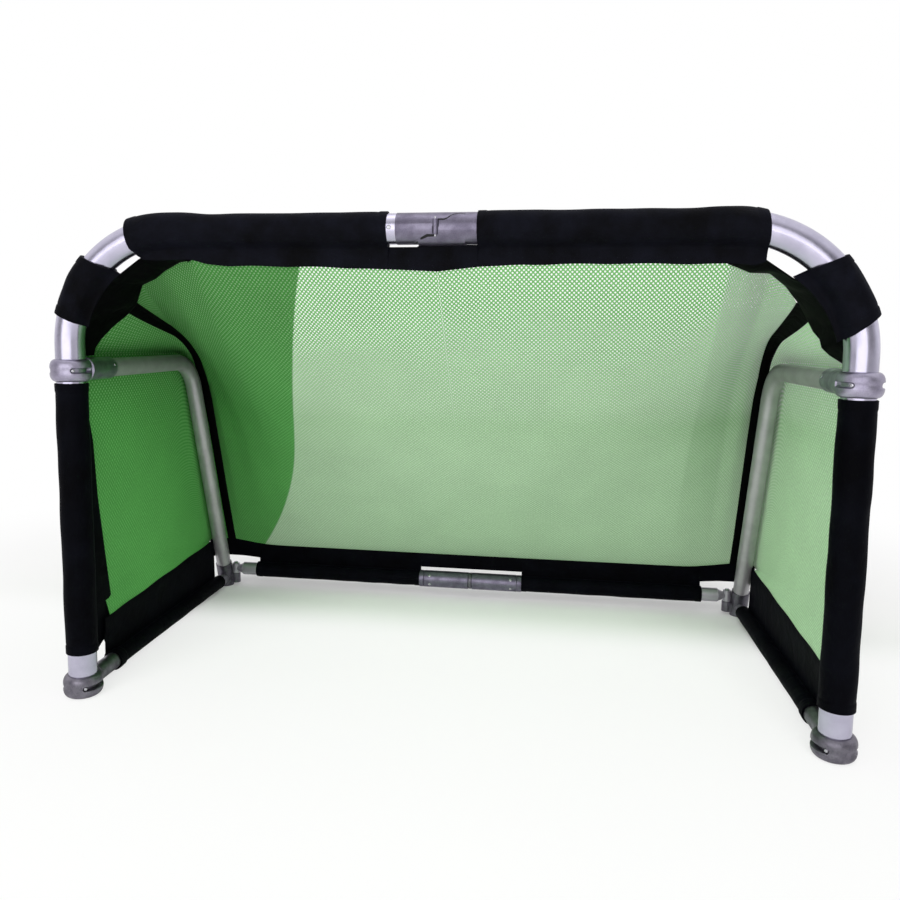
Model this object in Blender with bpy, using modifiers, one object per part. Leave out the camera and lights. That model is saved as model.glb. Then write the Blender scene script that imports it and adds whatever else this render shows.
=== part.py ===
# Folding football goal, about 1.25 m wide and 0.79 m high. Metres, +Z up, the goal mouth faces -Y,
# the ground is z = 0. Everything is drawn with the uprights at y = 0 and moved at the end, so that
# the origin lies under the middle of the goal.
import math

import bmesh
import bpy
from mathutils import Matrix, Vector

for old in list(bpy.data.objects):
    bpy.data.objects.remove(old, do_unlink=True)

# Front frame: two bent tubes that meet in the middle of the crossbar.
POST_SPACING = 1.200  # between the axes of the two uprights
BAR_HEIGHT = 0.770  # axis of the crossbar above the ground
FRONT_TUBE = 0.046  # outside diameter
FRONT_WALL = 0.002
BEND_RADIUS = 0.180  # centreline of the bend between upright and crossbar
BEND_STEPS = 8
PLUG_HEIGHT = 0.005  # visible plastic foot below the tube end

# Side frames: a bent tube above, a straight tube on the ground.
COLLAR_DROP = 0.040  # axis of the upper run below the start of the bend
SIDE_TUBE = 0.033
SIDE_WALL = 0.0015
TOP_DEPTH = 0.433  # where the axis of the upper run meets the axis of the slanted post
SIDE_BEND_RADIUS = 0.085
GROUND_TUBE = 0.025
GROUND_WALL = 0.0015
GROUND_HEIGHT = 0.0185

# Rear bar: two half bars, folding in the middle and at the corners.
REAR_DEPTH = 0.607  # rear bar axis and post foot behind the goal mouth
REAR_TUBE = 0.030
REAR_WALL = 0.0015
REAR_HEIGHT = 0.043
PIVOT_INSET = 0.026  # corner pivot inboard of the side frame

# Cast collars that let the side frames turn about the uprights.
COLLAR_RADIUS = 0.032
COLLAR_HEIGHT = 0.036
COLLAR_LIFT = 0.0006  # foot collar above the ground
NECK_WALL = 0.0025
NECK_LENGTH = 0.112  # end of the neck behind the upright axis
NECK_OVERLAP = 0.050  # how deep a tube sits in its neck
SLOT_HEIGHT = 0.0075
SLOT_ANGLE = 90.0
PIN_TURN = 38.0  # the pins point from the front towards the inner side by this much
PIN_DIAMETER = 0.006
PIN_HEAD_HEIGHT = 0.0012

# Crossbar hinge: two alike castings with tongues that overlap, and a barrel on the front face.
JOINT_LENGTH = 0.060  # of one casting, from the middle
JOINT_RADIUS = 0.0235
JOINT_PLUG_LENGTH = 0.035  # hidden length inside the tube
TONGUE_HEIGHT = 0.0115  # from the axis to the step of the tongue
TONGUE_FLAT_LENGTH = 0.015
TONGUE_LENGTH = 0.034
BARREL_RADIUS = 0.0042
BAR_PIN = 0.0034
LUG_DROP = 0.0025

# Rear bar joint: two sleeves and a barrel on the back.
SLEEVE_RADIUS = 0.0193
SLEEVE_LENGTH = 0.1025
SLEEVE_GAP = 0.009
SLEEVE_WEB = 0.006
REAR_BARREL = 0.0046
REAR_HINGE_OFFSET = 0.026  # hinge axis behind the rear bar axis
REAR_HINGE_PIN = 0.0030
REAR_HINGE_PLAY = 0.0014
EAR_HEIGHT = 0.011

# Rear corner.
HUB_RADIUS = 0.0186
HUB_HEIGHT = 0.044
SOCKET_HEIGHT = 0.058  # on the axis of the post
POST_SEAT_HEIGHT = 0.0375
GROUND_SEAT_GAP = 0.008  # end of the ground tube before the hub's axis
LUG_RADIUS = 0.0105
EYE_RADIUS = 0.009
EYE_HEIGHT = 0.025
KNUCKLE_NECK = 0.007
CORNER_PIN = 0.0064
SPIGOT_LENGTH = 0.020  # hidden length of the knuckle in the rear tube
KNUCKLE_FLANGE = 0.026  # face of the bar end from the pivot

# Fabric.
CLOTH = 0.0015
FLAP = 0.0025
BAR_FLAP_DROP = 0.035  # below the crossbar tube
BAR_FLAP_MARGIN = 0.155  # end of its lower edge from the upright axis
BAR_SLEEVE_TURN = 18.0  # degrees of the bend that the crossbar sleeve covers
LEFT_RING_WIDTH = 0.0145  # bare tube between the joint and the sleeve
RIGHT_RING_WIDTH = 0.0010
CUFF_FROM = 15.0
CUFF_TO = 43.0
UPRIGHT_SLEEVE_HEIGHT = 0.075
FLAP_OFFSET = 0.019  # flap of the upright sleeve, outboard of the upright axis
FLAP_FOOT_WIDTH = 0.128  # its depth near the ground
FLAP_TOP_WIDTH = 0.062  # its depth under the collar
BAND_HEIGHT = 0.0985  # upper edge above the ground
BAND_GAP = 0.0015  # behind the neck of the foot collar
BAND_MARGIN = 0.041  # end before the rear corner's axis
REAR_RING_WIDTH = 0.012  # bare bar between the joint sleeve and the band
REAR_BAND_MARGIN = 0.039  # end of the band from the corner pivot
REAR_STRIP_MARGIN = 0.018  # the same for its upper strip
REAR_STRIP_RISE = 0.023  # lower edge of the strip above the rear bar axis
REAR_STRIP_WIDTH = 0.034

# Net and its seam.
STRAND = 0.0030
NET_GAP = 0.0015  # from the middle of a border strand to its neighbour
SEAM_WIDTH = 0.015
SEAM_THICK = 0.0025
SEAM_INSET = 0.024  # inboard of the post
SEAM_OFFSET = 0.0248  # behind the post
SEAM_FRONT_INSET = 0.050  # its front end inboard of the side tube
SEAM_FRONT_DEPTH = 0.115  # behind the upright axis
SEAM_FRONT_RISE = 0.116  # above the side tube
SEAM_SLOPE = 0.29  # its fall per length behind the front end
SEAM_TURN = 0.160  # radius where it turns down along the post
HIP_TURN = 0.055
HIP_DEPTH = 0.074  # front end of the edge over the side tube, behind the upright axis
HIP_RISE = 0.024  # above the side tube
NET_OFFSET = 0.0208  # side net outboard of the side tube axis
BACK_CELLS = (4, 7)
SIDE_CELLS = (6, 4)

CLEAR = 0.0003
RIVET = 0.0065
RIVET_RISE = 0.0013

side_height = BAR_HEIGHT - BEND_RADIUS - COLLAR_DROP
front_r = FRONT_TUBE / 2
side_r = SIDE_TUBE / 2
ground_r = GROUND_TUBE / 2
rear_r = REAR_TUBE / 2
half = POST_SPACING / 2
pivot_x = half - PIVOT_INSET
bar_pin_y = -(JOINT_RADIUS)
rear_pin_y = REAR_DEPTH + REAR_HINGE_OFFSET

band_start = NECK_LENGTH + BAND_GAP
band_end = REAR_DEPTH - BAND_MARGIN
strip_foot = REAR_HEIGHT + REAR_STRIP_RISE
strip_top = strip_foot + REAR_STRIP_WIDTH
sleeve_end = SLEEVE_GAP / 2 + SLEEVE_LENGTH
rear_band = (sleeve_end + REAR_RING_WIDTH, pivot_x - REAR_BAND_MARGIN)
strip_end = pivot_x - REAR_STRIP_MARGIN

helpers = bpy.data.collections.new("cutters")
bpy.context.scene.collection.children.link(helpers)
helpers.hide_render = True


def material(name, colour, metal, rough):
    made = bpy.data.materials.new(name)
    made.use_nodes = True
    shader = made.node_tree.nodes["Principled BSDF"]
    shader.inputs["Base Color"].default_value = (*colour, 1)
    shader.inputs["Metallic"].default_value = metal
    shader.inputs["Roughness"].default_value = rough
    made.diffuse_color = (*colour, 1)
    return made


FINISH = {
    "tube": ((0.78, 0.77, 0.80), 1.0, 0.28),
    "cast": ((0.45, 0.44, 0.47), 1.0, 0.45),
    "steel": ((0.60, 0.60, 0.62), 1.0, 0.30),
    "fabric": ((0.012, 0.012, 0.016), 0.0, 0.85),
    "net": ((0.10, 0.38, 0.10), 0.0, 0.8),
    "plastic": ((0.03, 0.03, 0.03), 0.0, 0.6),
}


def place(name, mesh, finish, smooth=35):
    """A node of its own: object, material and collection all named for it."""
    obj = bpy.data.objects.new(name, mesh)
    mesh.materials.append(material(name, *FINISH[finish]))
    home = bpy.data.collections.new(name)
    bpy.context.scene.collection.children.link(home)
    home.objects.link(obj)
    for face in mesh.polygons:
        face.use_smooth = True
    mesh.set_sharp_from_angle(angle=math.radians(smooth))
    return obj


def helper(name, mesh):
    obj = bpy.data.objects.new(name, mesh)
    helpers.objects.link(obj)
    obj.hide_render = True
    obj.display_type = "WIRE"
    return obj


def boolean(obj, operation, mesh, label):
    step = obj.modifiers.new(label, "BOOLEAN")
    step.operation = operation
    step.solver = "EXACT"
    step.object = helper(obj.name + "_" + label, mesh)


def cut(obj, mesh, label):
    boolean(obj, "DIFFERENCE", mesh, label)


def join(obj, mesh, label):
    boolean(obj, "UNION", mesh, label)


def from_bmesh(bm):
    bmesh.ops.recalc_face_normals(bm, faces=bm.faces[:])
    mesh = bpy.data.meshes.new("shape")
    bm.to_mesh(mesh)
    bm.free()
    return mesh


def cylinder(a, b, radius, sides=24, end_radius=None):
    """Cylinder or cone from point a to point b."""
    a, b = Vector(a), Vector(b)
    bm = bmesh.new()
    bmesh.ops.create_cone(
        bm, cap_ends=True, segments=sides, radius1=radius,
        radius2=radius if end_radius is None else end_radius, depth=(b - a).length,
    )
    turn = (b - a).to_track_quat("Z", "Y").to_matrix().to_4x4()
    bmesh.ops.transform(bm, matrix=Matrix.Translation((a + b) / 2) @ turn, verts=bm.verts[:])
    return from_bmesh(bm)


def box(low, high):
    """Box between two corners, given in any order."""
    bm = bmesh.new()
    bmesh.ops.create_cube(bm, size=1)
    size = [abs(h - l) for l, h in zip(low, high)]
    middle = [(h + l) / 2 for l, h in zip(low, high)]
    for vert in bm.verts:
        vert.co = Vector(c * k + m for c, k, m in zip(vert.co, size, middle))
    return from_bmesh(bm)


def prism(outline, axis, start, end):
    """Flat outline pushed along an axis. Outline points give the other two axes in order."""
    bm = bmesh.new()
    points = []
    for first, second in outline:
        point = [first, second]
        point.insert(axis, start)
        points.append(bm.verts.new(point))
    face = bm.faces.new(points)
    pushed = bmesh.ops.extrude_face_region(bm, geom=[face])
    shift = Vector((0, 0, 0))
    shift[axis] = end - start
    verts = [g for g in pushed["geom"] if isinstance(g, bmesh.types.BMVert)]
    bmesh.ops.translate(bm, vec=shift, verts=verts)
    return from_bmesh(bm)


def lathe(profile, centre, steps):
    """Solid of revolution about a vertical axis: profile is (radius, height), closed, from the top
    down its outer side."""
    bm = bmesh.new()
    verts = [bm.verts.new((r, 0, z)) for r, z in profile]
    edges = [bm.edges.new((verts[i], verts[(i + 1) % len(verts)])) for i in range(len(verts))]
    bmesh.ops.spin(
        bm, geom=verts + edges, cent=(0, 0, 0), axis=(0, 0, 1), angle=2 * math.pi, steps=steps,
        use_merge=True,
    )
    bmesh.ops.remove_doubles(bm, verts=bm.verts[:], dist=0.00001)
    bmesh.ops.translate(bm, vec=centre, verts=bm.verts[:])
    return from_bmesh(bm)


def arc_block(centre, radii, angles, heights, steps):
    """Part of a ring about a vertical axis, between two radii, two angles and two heights."""
    bm = bmesh.new()
    rings = []
    for i in range(steps + 1):
        a = math.radians(angles[0] + (angles[1] - angles[0]) * i / steps)
        out = Vector((math.cos(a), math.sin(a), 0))
        corners = ((radii[0], heights[0]), (radii[1], heights[0]), (radii[1], heights[1]),
                   (radii[0], heights[1]))
        rings.append([bm.verts.new(centre + out * r + Vector((0, 0, z))) for r, z in corners])
    for one, two in zip(rings, rings[1:]):
        for k in range(4):
            bm.faces.new((one[k], one[(k + 1) % 4], two[(k + 1) % 4], two[k]))
    bm.faces.new(rings[0])
    bm.faces.new(rings[-1])
    return from_bmesh(bm)


def bent_path(a, corner, b, radius, steps):
    """Points of a path from a to b with one rounded corner."""
    a, corner, b = Vector(a), Vector(corner), Vector(b)
    back, on = (a - corner).normalized(), (b - corner).normalized()
    opening = back.angle(on)
    reach = radius / math.tan(opening / 2)
    centre = corner + (back + on).normalized() * radius / math.sin(opening / 2)
    first = corner + back * reach - centre
    axis = first.cross(corner + on * reach - centre).normalized()
    sweep = math.pi - opening
    arc = [
        centre + Matrix.Rotation(sweep * i / steps, 3, axis) @ first for i in range(steps + 1)
    ]
    return [a, *arc, b]


def swept(points, radius, sides):
    """Round bar along a path, ends closed: a bevelled curve, welded."""
    curve = bpy.data.curves.new("path", "CURVE")
    curve.dimensions = "3D"
    curve.bevel_depth = radius
    curve.bevel_resolution = sides // 2 - 2
    curve.use_fill_caps = True
    curve.twist_mode = "MINIMUM"
    line = curve.splines.new("POLY")
    line.points.add(len(points) - 1)
    for slot, point in zip(line.points, points):
        slot.co = (*point, 1)
    holder = bpy.data.objects.new("path", curve)
    bpy.context.scene.collection.objects.link(holder)
    graph = bpy.context.evaluated_depsgraph_get()
    mesh = bpy.data.meshes.new_from_object(holder.evaluated_get(graph), depsgraph=graph)
    bpy.data.objects.remove(holder, do_unlink=True)
    bm = bmesh.new()
    bm.from_mesh(mesh)
    bmesh.ops.remove_doubles(bm, verts=bm.verts[:], dist=0.00001)
    return from_bmesh(bm)


def longer(points, extra):
    """The same path, run on past both ends."""
    points = [Vector(p) for p in points]
    start = points[0] + (points[0] - points[1]).normalized() * extra
    end = points[-1] + (points[-1] - points[-2]).normalized() * extra
    return [start, *points[1:-1], end]


def tube(name, points, diameter, wall, finish, sides):
    obj = place(name, swept(points, diameter / 2, sides), finish)
    cut(obj, swept(longer(points, 0.01), diameter / 2 - wall, sides), "bore")
    return obj


def stretch(points, first, last):
    """The piece of a path between two places, each a point's number plus the share to the next."""
    def at(where):
        low = min(int(where), len(points) - 2)
        return Vector(points[low]).lerp(Vector(points[low + 1]), where - low)

    inner = [Vector(p) for i, p in enumerate(points) if first < i < last]
    return [at(first), *inner, at(last)]


def sheet(name, rows, thick, finish):
    """Thin sheet through a grid of points, given a thickness."""
    bm = bmesh.new()
    grid = [[bm.verts.new(p) for p in row] for row in rows]
    for i in range(len(grid) - 1):
        for j in range(len(grid[0]) - 1):
            bm.faces.new((grid[i][j], grid[i][j + 1], grid[i + 1][j + 1], grid[i + 1][j]))
    obj = place(name, from_bmesh(bm), finish)
    solid = obj.modifiers.new("thickness", "SOLIDIFY")
    solid.thickness = thick
    solid.offset = 0
    solid.use_even_offset = True
    return obj


def net(name, surface, cells, strand):
    """Diamond net on surface(u, v), as one body of strands."""
    across, down = cells
    bm = bmesh.new()
    corner = {}
    middle = {}
    for i in range(across + 1):
        for j in range(down + 1):
            corner[i, j] = bm.verts.new(surface(i / across, j / down))
    for i in range(across):
        for j in range(down):
            middle[i, j] = bm.verts.new(surface((i + 0.5) / across, (j + 0.5) / down))
    for i in range(across):
        for j in range(down + 1):
            near = [middle.get((i, j)), middle.get((i, j - 1))]
            loop = [corner[i, j], near[0], corner[i + 1, j], near[1]]
            bm.faces.new([v for v in loop if v])
    for i in range(across + 1):
        for j in range(down):
            near = [middle.get((i, j)), middle.get((i - 1, j))]
            loop = [corner[i, j], near[0], corner[i, j + 1], near[1]]
            bm.faces.new([v for v in loop if v])
    obj = place(name, from_bmesh(bm), "net", 60)
    wire = obj.modifiers.new("strands", "WIREFRAME")
    wire.thickness = strand
    wire.use_boundary = True
    wire.use_even_offset = True
    wire.use_relative_offset = False
    wire.use_replace = True
    return obj


def rivet(name, base, out, diameter=RIVET):
    """Domed head on a surface, standing CLEAR off it."""
    base, out = Vector(base), Vector(out).normalized()
    foot = base + out * CLEAR
    obj = place(
        name, cylinder(foot, foot + out * RIVET_RISE, diameter / 2, 12, diameter * 0.3), "steel"
    )
    return obj


def collar(name, s, centre_z, tube_diameter):
    """Cast ring round the upright with a neck for the side tube and slots for the pin."""
    x = s * half
    bore = front_r + CLEAR
    top = COLLAR_HEIGHT / 2
    crown = (COLLAR_RADIUS - bore) * 0.45
    outer = COLLAR_RADIUS
    core = bore - 0.003
    profile = [
        (core, top), (bore + crown, top), (outer - 0.0018, top * 0.72), (outer, top * 0.36),
        (outer - 0.0006, 0), (outer, -top * 0.36), (outer - 0.0018, -top * 0.72),
        (bore + crown, -top), (core, -top),
    ]
    obj = place(name, lathe(profile, (x, 0, centre_z), 24), "cast")
    neck_r = tube_diameter / 2 + NECK_WALL
    neck = cylinder((x, bore + 0.004, centre_z), (x, NECK_LENGTH, centre_z), neck_r, 24)
    join(obj, neck, "neck")
    socket = tube_diameter / 2 + CLEAR
    seat = NECK_LENGTH - NECK_OVERLAP
    cut(obj, cylinder((x, seat, centre_z), (x, NECK_LENGTH + 0.01, centre_z), socket, 20), "socket")
    # The pin runs in two slots: from the front to the inner side, and from the back to the outer.
    for label, start in (("front_slot", -90.0 - s * PIN_TURN), ("back_slot", 90.0 - s * PIN_TURN)):
        play = math.degrees(math.asin((PIN_DIAMETER / 2 + CLEAR) / bore))
        angles = (start + s * play, start - s * (SLOT_ANGLE + play))
        radii = (bore - 0.0015, COLLAR_RADIUS + 0.004)
        heights = (-SLOT_HEIGHT / 2, SLOT_HEIGHT / 2)
        cut(obj, arc_block(Vector((x, 0, centre_z)), radii, angles, heights, 7), label)
    cut(obj, cylinder((x, 0, centre_z - 0.1), (x, 0, centre_z + 0.1), bore, 24), "bore")
    return obj


def pin_line(s, z, reach):
    """Ends of a line through the upright, from the front and inner side to the back and outer side."""
    turn = math.radians(PIN_TURN)
    along = Vector((s * math.sin(turn), math.cos(turn), 0)) * reach
    middle = Vector((s * half, 0, z))
    return middle - along, middle + along


def pin(name, s, z):
    """Pin through the upright that runs in the collar's slots."""
    ends = pin_line(s, z, COLLAR_RADIUS - 0.0012)
    return place(name, cylinder(*ends, PIN_DIAMETER / 2, 16), "steel")


def pin_hole(obj, s, z):
    hole = cylinder(*pin_line(s, z, 0.06), PIN_DIAMETER / 2 + CLEAR / 3, 16)
    cut(obj, hole, "pin_hole_%d" % round(z * 1000))


def step_outline(sign, gap):
    """Outline in x and z of one jaw's share of the crossbar joint: straight face at the middle,
    upper tongue reaching over to the other side."""
    far = 0.2
    high = 0.05
    tip = TONGUE_LENGTH + (high - JOINT_RADIUS) * 1.3
    points = [
        (-far, high), (tip - gap, high), (TONGUE_LENGTH - gap, JOINT_RADIUS - 0.003),
        (TONGUE_FLAT_LENGTH - gap, TONGUE_HEIGHT + gap), (-gap, TONGUE_HEIGHT + gap),
        (-gap, -TONGUE_HEIGHT + gap), (-TONGUE_FLAT_LENGTH - gap, -TONGUE_HEIGHT + gap),
        (-TONGUE_LENGTH - gap, -JOINT_RADIUS + 0.003 + gap), (-tip - gap, -high), (-far, -high),
    ]
    if sign < 0:
        return [(x, BAR_HEIGHT + z) for x, z in points]
    return [(-x, BAR_HEIGHT - z) for x, z in points]


foot_z = COLLAR_LIFT + COLLAR_HEIGHT / 2
upper_z = side_height
half_flap = POST_SPACING / 2 - BAR_FLAP_MARGIN
post_foot = Vector((0, REAR_DEPTH, GROUND_HEIGHT))
post_top = Vector((0, TOP_DEPTH, side_height))
post_run = (post_foot - post_top).normalized()


def along_post(z):
    return post_top + post_run * ((z - side_height) / post_run.z)


def frame_axis(s):
    """Axis of the bent side tube, from its end in the collar's neck to its end on the corner."""
    x = s * half
    start = (x, NECK_LENGTH - NECK_OVERLAP + 0.002, side_height)
    end = along_post(POST_SEAT_HEIGHT + CLEAR)
    return bent_path(
        start, (x, TOP_DEPTH, side_height), (x, end.y, end.z), SIDE_BEND_RADIUS, 7
    )


def along(points, t):
    """Point at the share t of a path's length."""
    lengths = [(b - a).length for a, b in zip(points, points[1:])]
    left = t * sum(lengths)
    for a, b, length in zip(points, points[1:], lengths):
        if left <= length:
            return a.lerp(b, left / length)
        left -= length
    return points[-1].copy()


def fabric_edge(front, slope, radius):
    """Path in the middle plane: backwards from its front end, then down behind the post."""
    behind = Vector((0, SEAM_OFFSET, 0))
    foot = along_post(strip_top + 0.012) + behind
    top = post_top + behind
    rise = (front[1] - slope * (top.y - front[0]) - top.z) / (post_run.z + slope * post_run.y)
    corner = top + post_run * rise
    return bent_path((0, *front), corner, foot, radius, 8)


def share_at(points, number):
    """Share of a path's length at one of its points."""
    lengths = [(b - a).length for a, b in zip(points, points[1:])]
    return sum(lengths[:number]) / sum(lengths)


seam_path = fabric_edge((SEAM_FRONT_DEPTH, side_height + SEAM_FRONT_RISE), SEAM_SLOPE, SEAM_TURN)
hip_path = fabric_edge((HIP_DEPTH, side_height + HIP_RISE), 0.01, HIP_TURN)


def seam(s, t):
    """Centre of the seam between side net and back net, t from its front end to its foot."""
    point = along(seam_path, t)
    inboard = SEAM_FRONT_INSET + (SEAM_INSET - SEAM_FRONT_INSET) * min(1.0, t / 0.45) ** 0.8
    return Vector((s * (half - inboard), point.y, point.z))


def back_surface(s):
    """Back net half: the seam at the side, a nearly straight fall in the middle."""
    top_y, top_z = 0.0, BAR_HEIGHT - front_r - BAR_FLAP_DROP - NET_GAP
    foot_y = REAR_DEPTH + rear_r + CLOTH - FLAP / 2
    foot_z = strip_top + NET_GAP

    def surface(u, v):
        edge = seam(s, v)
        edge.x -= s * (SEAM_WIDTH / 2 + NET_GAP)
        drop = v ** 0.95
        y = top_y + (foot_y - top_y) * v
        z = top_z + (foot_z - top_z) * drop
        x = s * NET_GAP
        hold = (1 - u) ** (1.7 + 5 * (1 - v) ** 2)
        x = x + (edge.x - x) * (1 - u)
        return Vector((x, y + (edge.y - y) * hold, z + (edge.z - z) * hold))

    return surface


def side_surface(s):
    """Side net: up from the ground band on the outside of the frame, over it to the seam."""

    knee = round(SIDE_CELLS[0] * 0.45) / SIDE_CELLS[0]

    def run(points, u):
        # The same share of both edges reaches the turn over the rear post.
        turn = share_at(points, 5)
        return turn * u / knee if u < knee else turn + (1 - turn) * (u - knee) / (1 - knee)

    def surface(u, v):
        edge = seam(s, run(seam_path, u))
        edge_x = abs(edge.x) + SEAM_WIDTH / 2 + NET_GAP + 0.0008
        out = half + NET_OFFSET
        foot_x = half + ground_r + CLOTH
        foot_y = FLAP_FOOT_WIDTH + 0.006 + (band_end - 0.032 - FLAP_FOOT_WIDTH) * u
        foot_z = BAND_HEIGHT + NET_GAP
        hip = along(hip_path, run(hip_path, u))
        if v < 0.75:
            k = v / 0.75
            x = foot_x + (out - foot_x) * min(1.0, k * 3)
            y = foot_y + (hip.y - foot_y) * k
            z = foot_z + (hip.z - foot_z) * k
        else:
            k = (v - 0.75) / 0.25
            x = out + (edge_x - out) * k
            y = hip.y + (edge.y - hip.y) * k
            z = hip.z + (edge.z - hip.z) * k
        return Vector((s * x, y, z))

    return surface


def build_front(s, side):
    x = s * half
    foot = (x, 0, PLUG_HEIGHT + CLEAR)
    bar_end = (s * (JOINT_LENGTH + CLEAR), 0, BAR_HEIGHT)
    axis = bent_path(foot, (x, 0, BAR_HEIGHT), bar_end, BEND_RADIUS, BEND_STEPS)
    frame = tube("front_tube_" + side, axis, FRONT_TUBE, FRONT_WALL, "tube", 20)
    for z in (foot_z, upper_z):
        pin_hole(frame, s, z)

    plug = place(
        "foot_plug_" + side, cylinder((x, 0, 0), (x, 0, PLUG_HEIGHT), front_r, 24), "plastic"
    )
    spigot_r = front_r - FRONT_WALL - CLEAR
    stem_top = foot_z - PIN_DIAMETER / 2 - 0.002
    join(plug, cylinder((x, 0, PLUG_HEIGHT / 2), (x, 0, stem_top), spigot_r, 24), "stem")

    for label, z in (("foot_pin_", foot_z), ("upper_pin_", upper_z)):
        pin(label + side, s, z)

    # Half of the crossbar joint: a round casting cut to its share of the Z-shaped parting.
    jaw = place(
        "bar_joint_" + side,
        cylinder((-s * TONGUE_LENGTH * 1.5, 0, BAR_HEIGHT), (s * JOINT_LENGTH, 0, BAR_HEIGHT),
                 JOINT_RADIUS, 32),
        "cast",
    )
    if s > 0:
        lug = cylinder((-TONGUE_LENGTH * 0.8, 0.002, BAR_HEIGHT - LUG_DROP),
                       (TONGUE_LENGTH * 1.25, 0.002, BAR_HEIGHT - LUG_DROP), JOINT_RADIUS, 32)
        join(jaw, lug, "lug")
    hold = "INTERSECT"
    boolean(jaw, hold, prism(step_outline(s, CLEAR / 2), 1, -0.06, 0.06), "parting")
    # The front barrel: upper half on one jaw, lower half on the other, its partner cut clear.
    span = (TONGUE_HEIGHT - CLEAR) * 1.0
    own, other = ((0, span), (-span, 0)) if s < 0 else ((-span, 0), (0, span))
    clear_barrel = cylinder((0, bar_pin_y, BAR_HEIGHT + other[0] - CLEAR),
                            (0, bar_pin_y, BAR_HEIGHT + other[1] + CLEAR),
                            BARREL_RADIUS + 0.0008, 20)
    cut(jaw, clear_barrel, "partner")
    edge = CLEAR / 2
    barrel = cylinder((0, bar_pin_y, BAR_HEIGHT + own[0] + (edge if own[0] == 0 else 0)),
                      (0, bar_pin_y, BAR_HEIGHT + own[1] - (edge if own[1] == 0 else 0)),
                      BARREL_RADIUS, 20)
    join(jaw, barrel, "barrel")
    plug_r = front_r - FRONT_WALL - CLEAR
    join(jaw, cylinder((s * (JOINT_LENGTH - 0.004), 0, BAR_HEIGHT),
                       (s * (JOINT_LENGTH + JOINT_PLUG_LENGTH), 0, BAR_HEIGHT), plug_r, 24), "plug")
    cut(jaw, cylinder((0, bar_pin_y, BAR_HEIGHT - 0.05), (0, bar_pin_y, BAR_HEIGHT + 0.05),
                      BAR_PIN / 2 + CLEAR / 2, 16), "pin_hole")

    if s < 0:  # the right sleeve reaches over its rivet
        rivet("bar_rivet_" + side, (s * (JOINT_LENGTH + 0.0095), -front_r, BAR_HEIGHT), (0, -1, 0))

    # Crossbar sleeve: cloth tube with a flap below, which holds the net.
    start = JOINT_LENGTH + (LEFT_RING_WIDTH if s < 0 else RIGHT_RING_WIDTH)
    degrees = 90.0 / BEND_STEPS
    share = (half - BEND_RADIUS - start) / (half - BEND_RADIUS - abs(bar_end[0]))
    route = stretch(axis, 1 + (90 - BAR_SLEEVE_TURN) / degrees, 1 + BEND_STEPS + share)[::-1]
    skin = front_r + CLEAR
    sleeve = place("bar_sleeve_" + side, swept(route, skin + CLOTH, 20), "fabric")
    low = BAR_HEIGHT - front_r - BAR_FLAP_DROP
    under = BAR_HEIGHT - JOINT_RADIUS - LUG_DROP - 0.002
    strip = [
        (s * CLEAR, low), (s * half_flap, low + 0.004),
        (s * (half_flap + 0.02), BAR_HEIGHT - front_r - 0.0005),
        (s * start, BAR_HEIGHT - front_r - 0.0005), (s * start, under), (s * CLEAR, under),
    ]
    join(sleeve, prism(strip, 1, -FLAP / 2, FLAP / 2), "flap")
    cut(sleeve, swept(longer(route, 0.02), skin, 20), "bore")

    # Cuff round the bend.
    arc = stretch(axis, 1 + CUFF_FROM / degrees, 1 + CUFF_TO / degrees)
    cuff = place("bend_cuff_" + side, swept(arc, skin + CLOTH, 20), "fabric")
    cut(cuff, swept(longer(arc, 0.004), skin, 20), "bore")

    net("back_net_" + side, back_surface(s), BACK_CELLS, STRAND)


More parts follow.
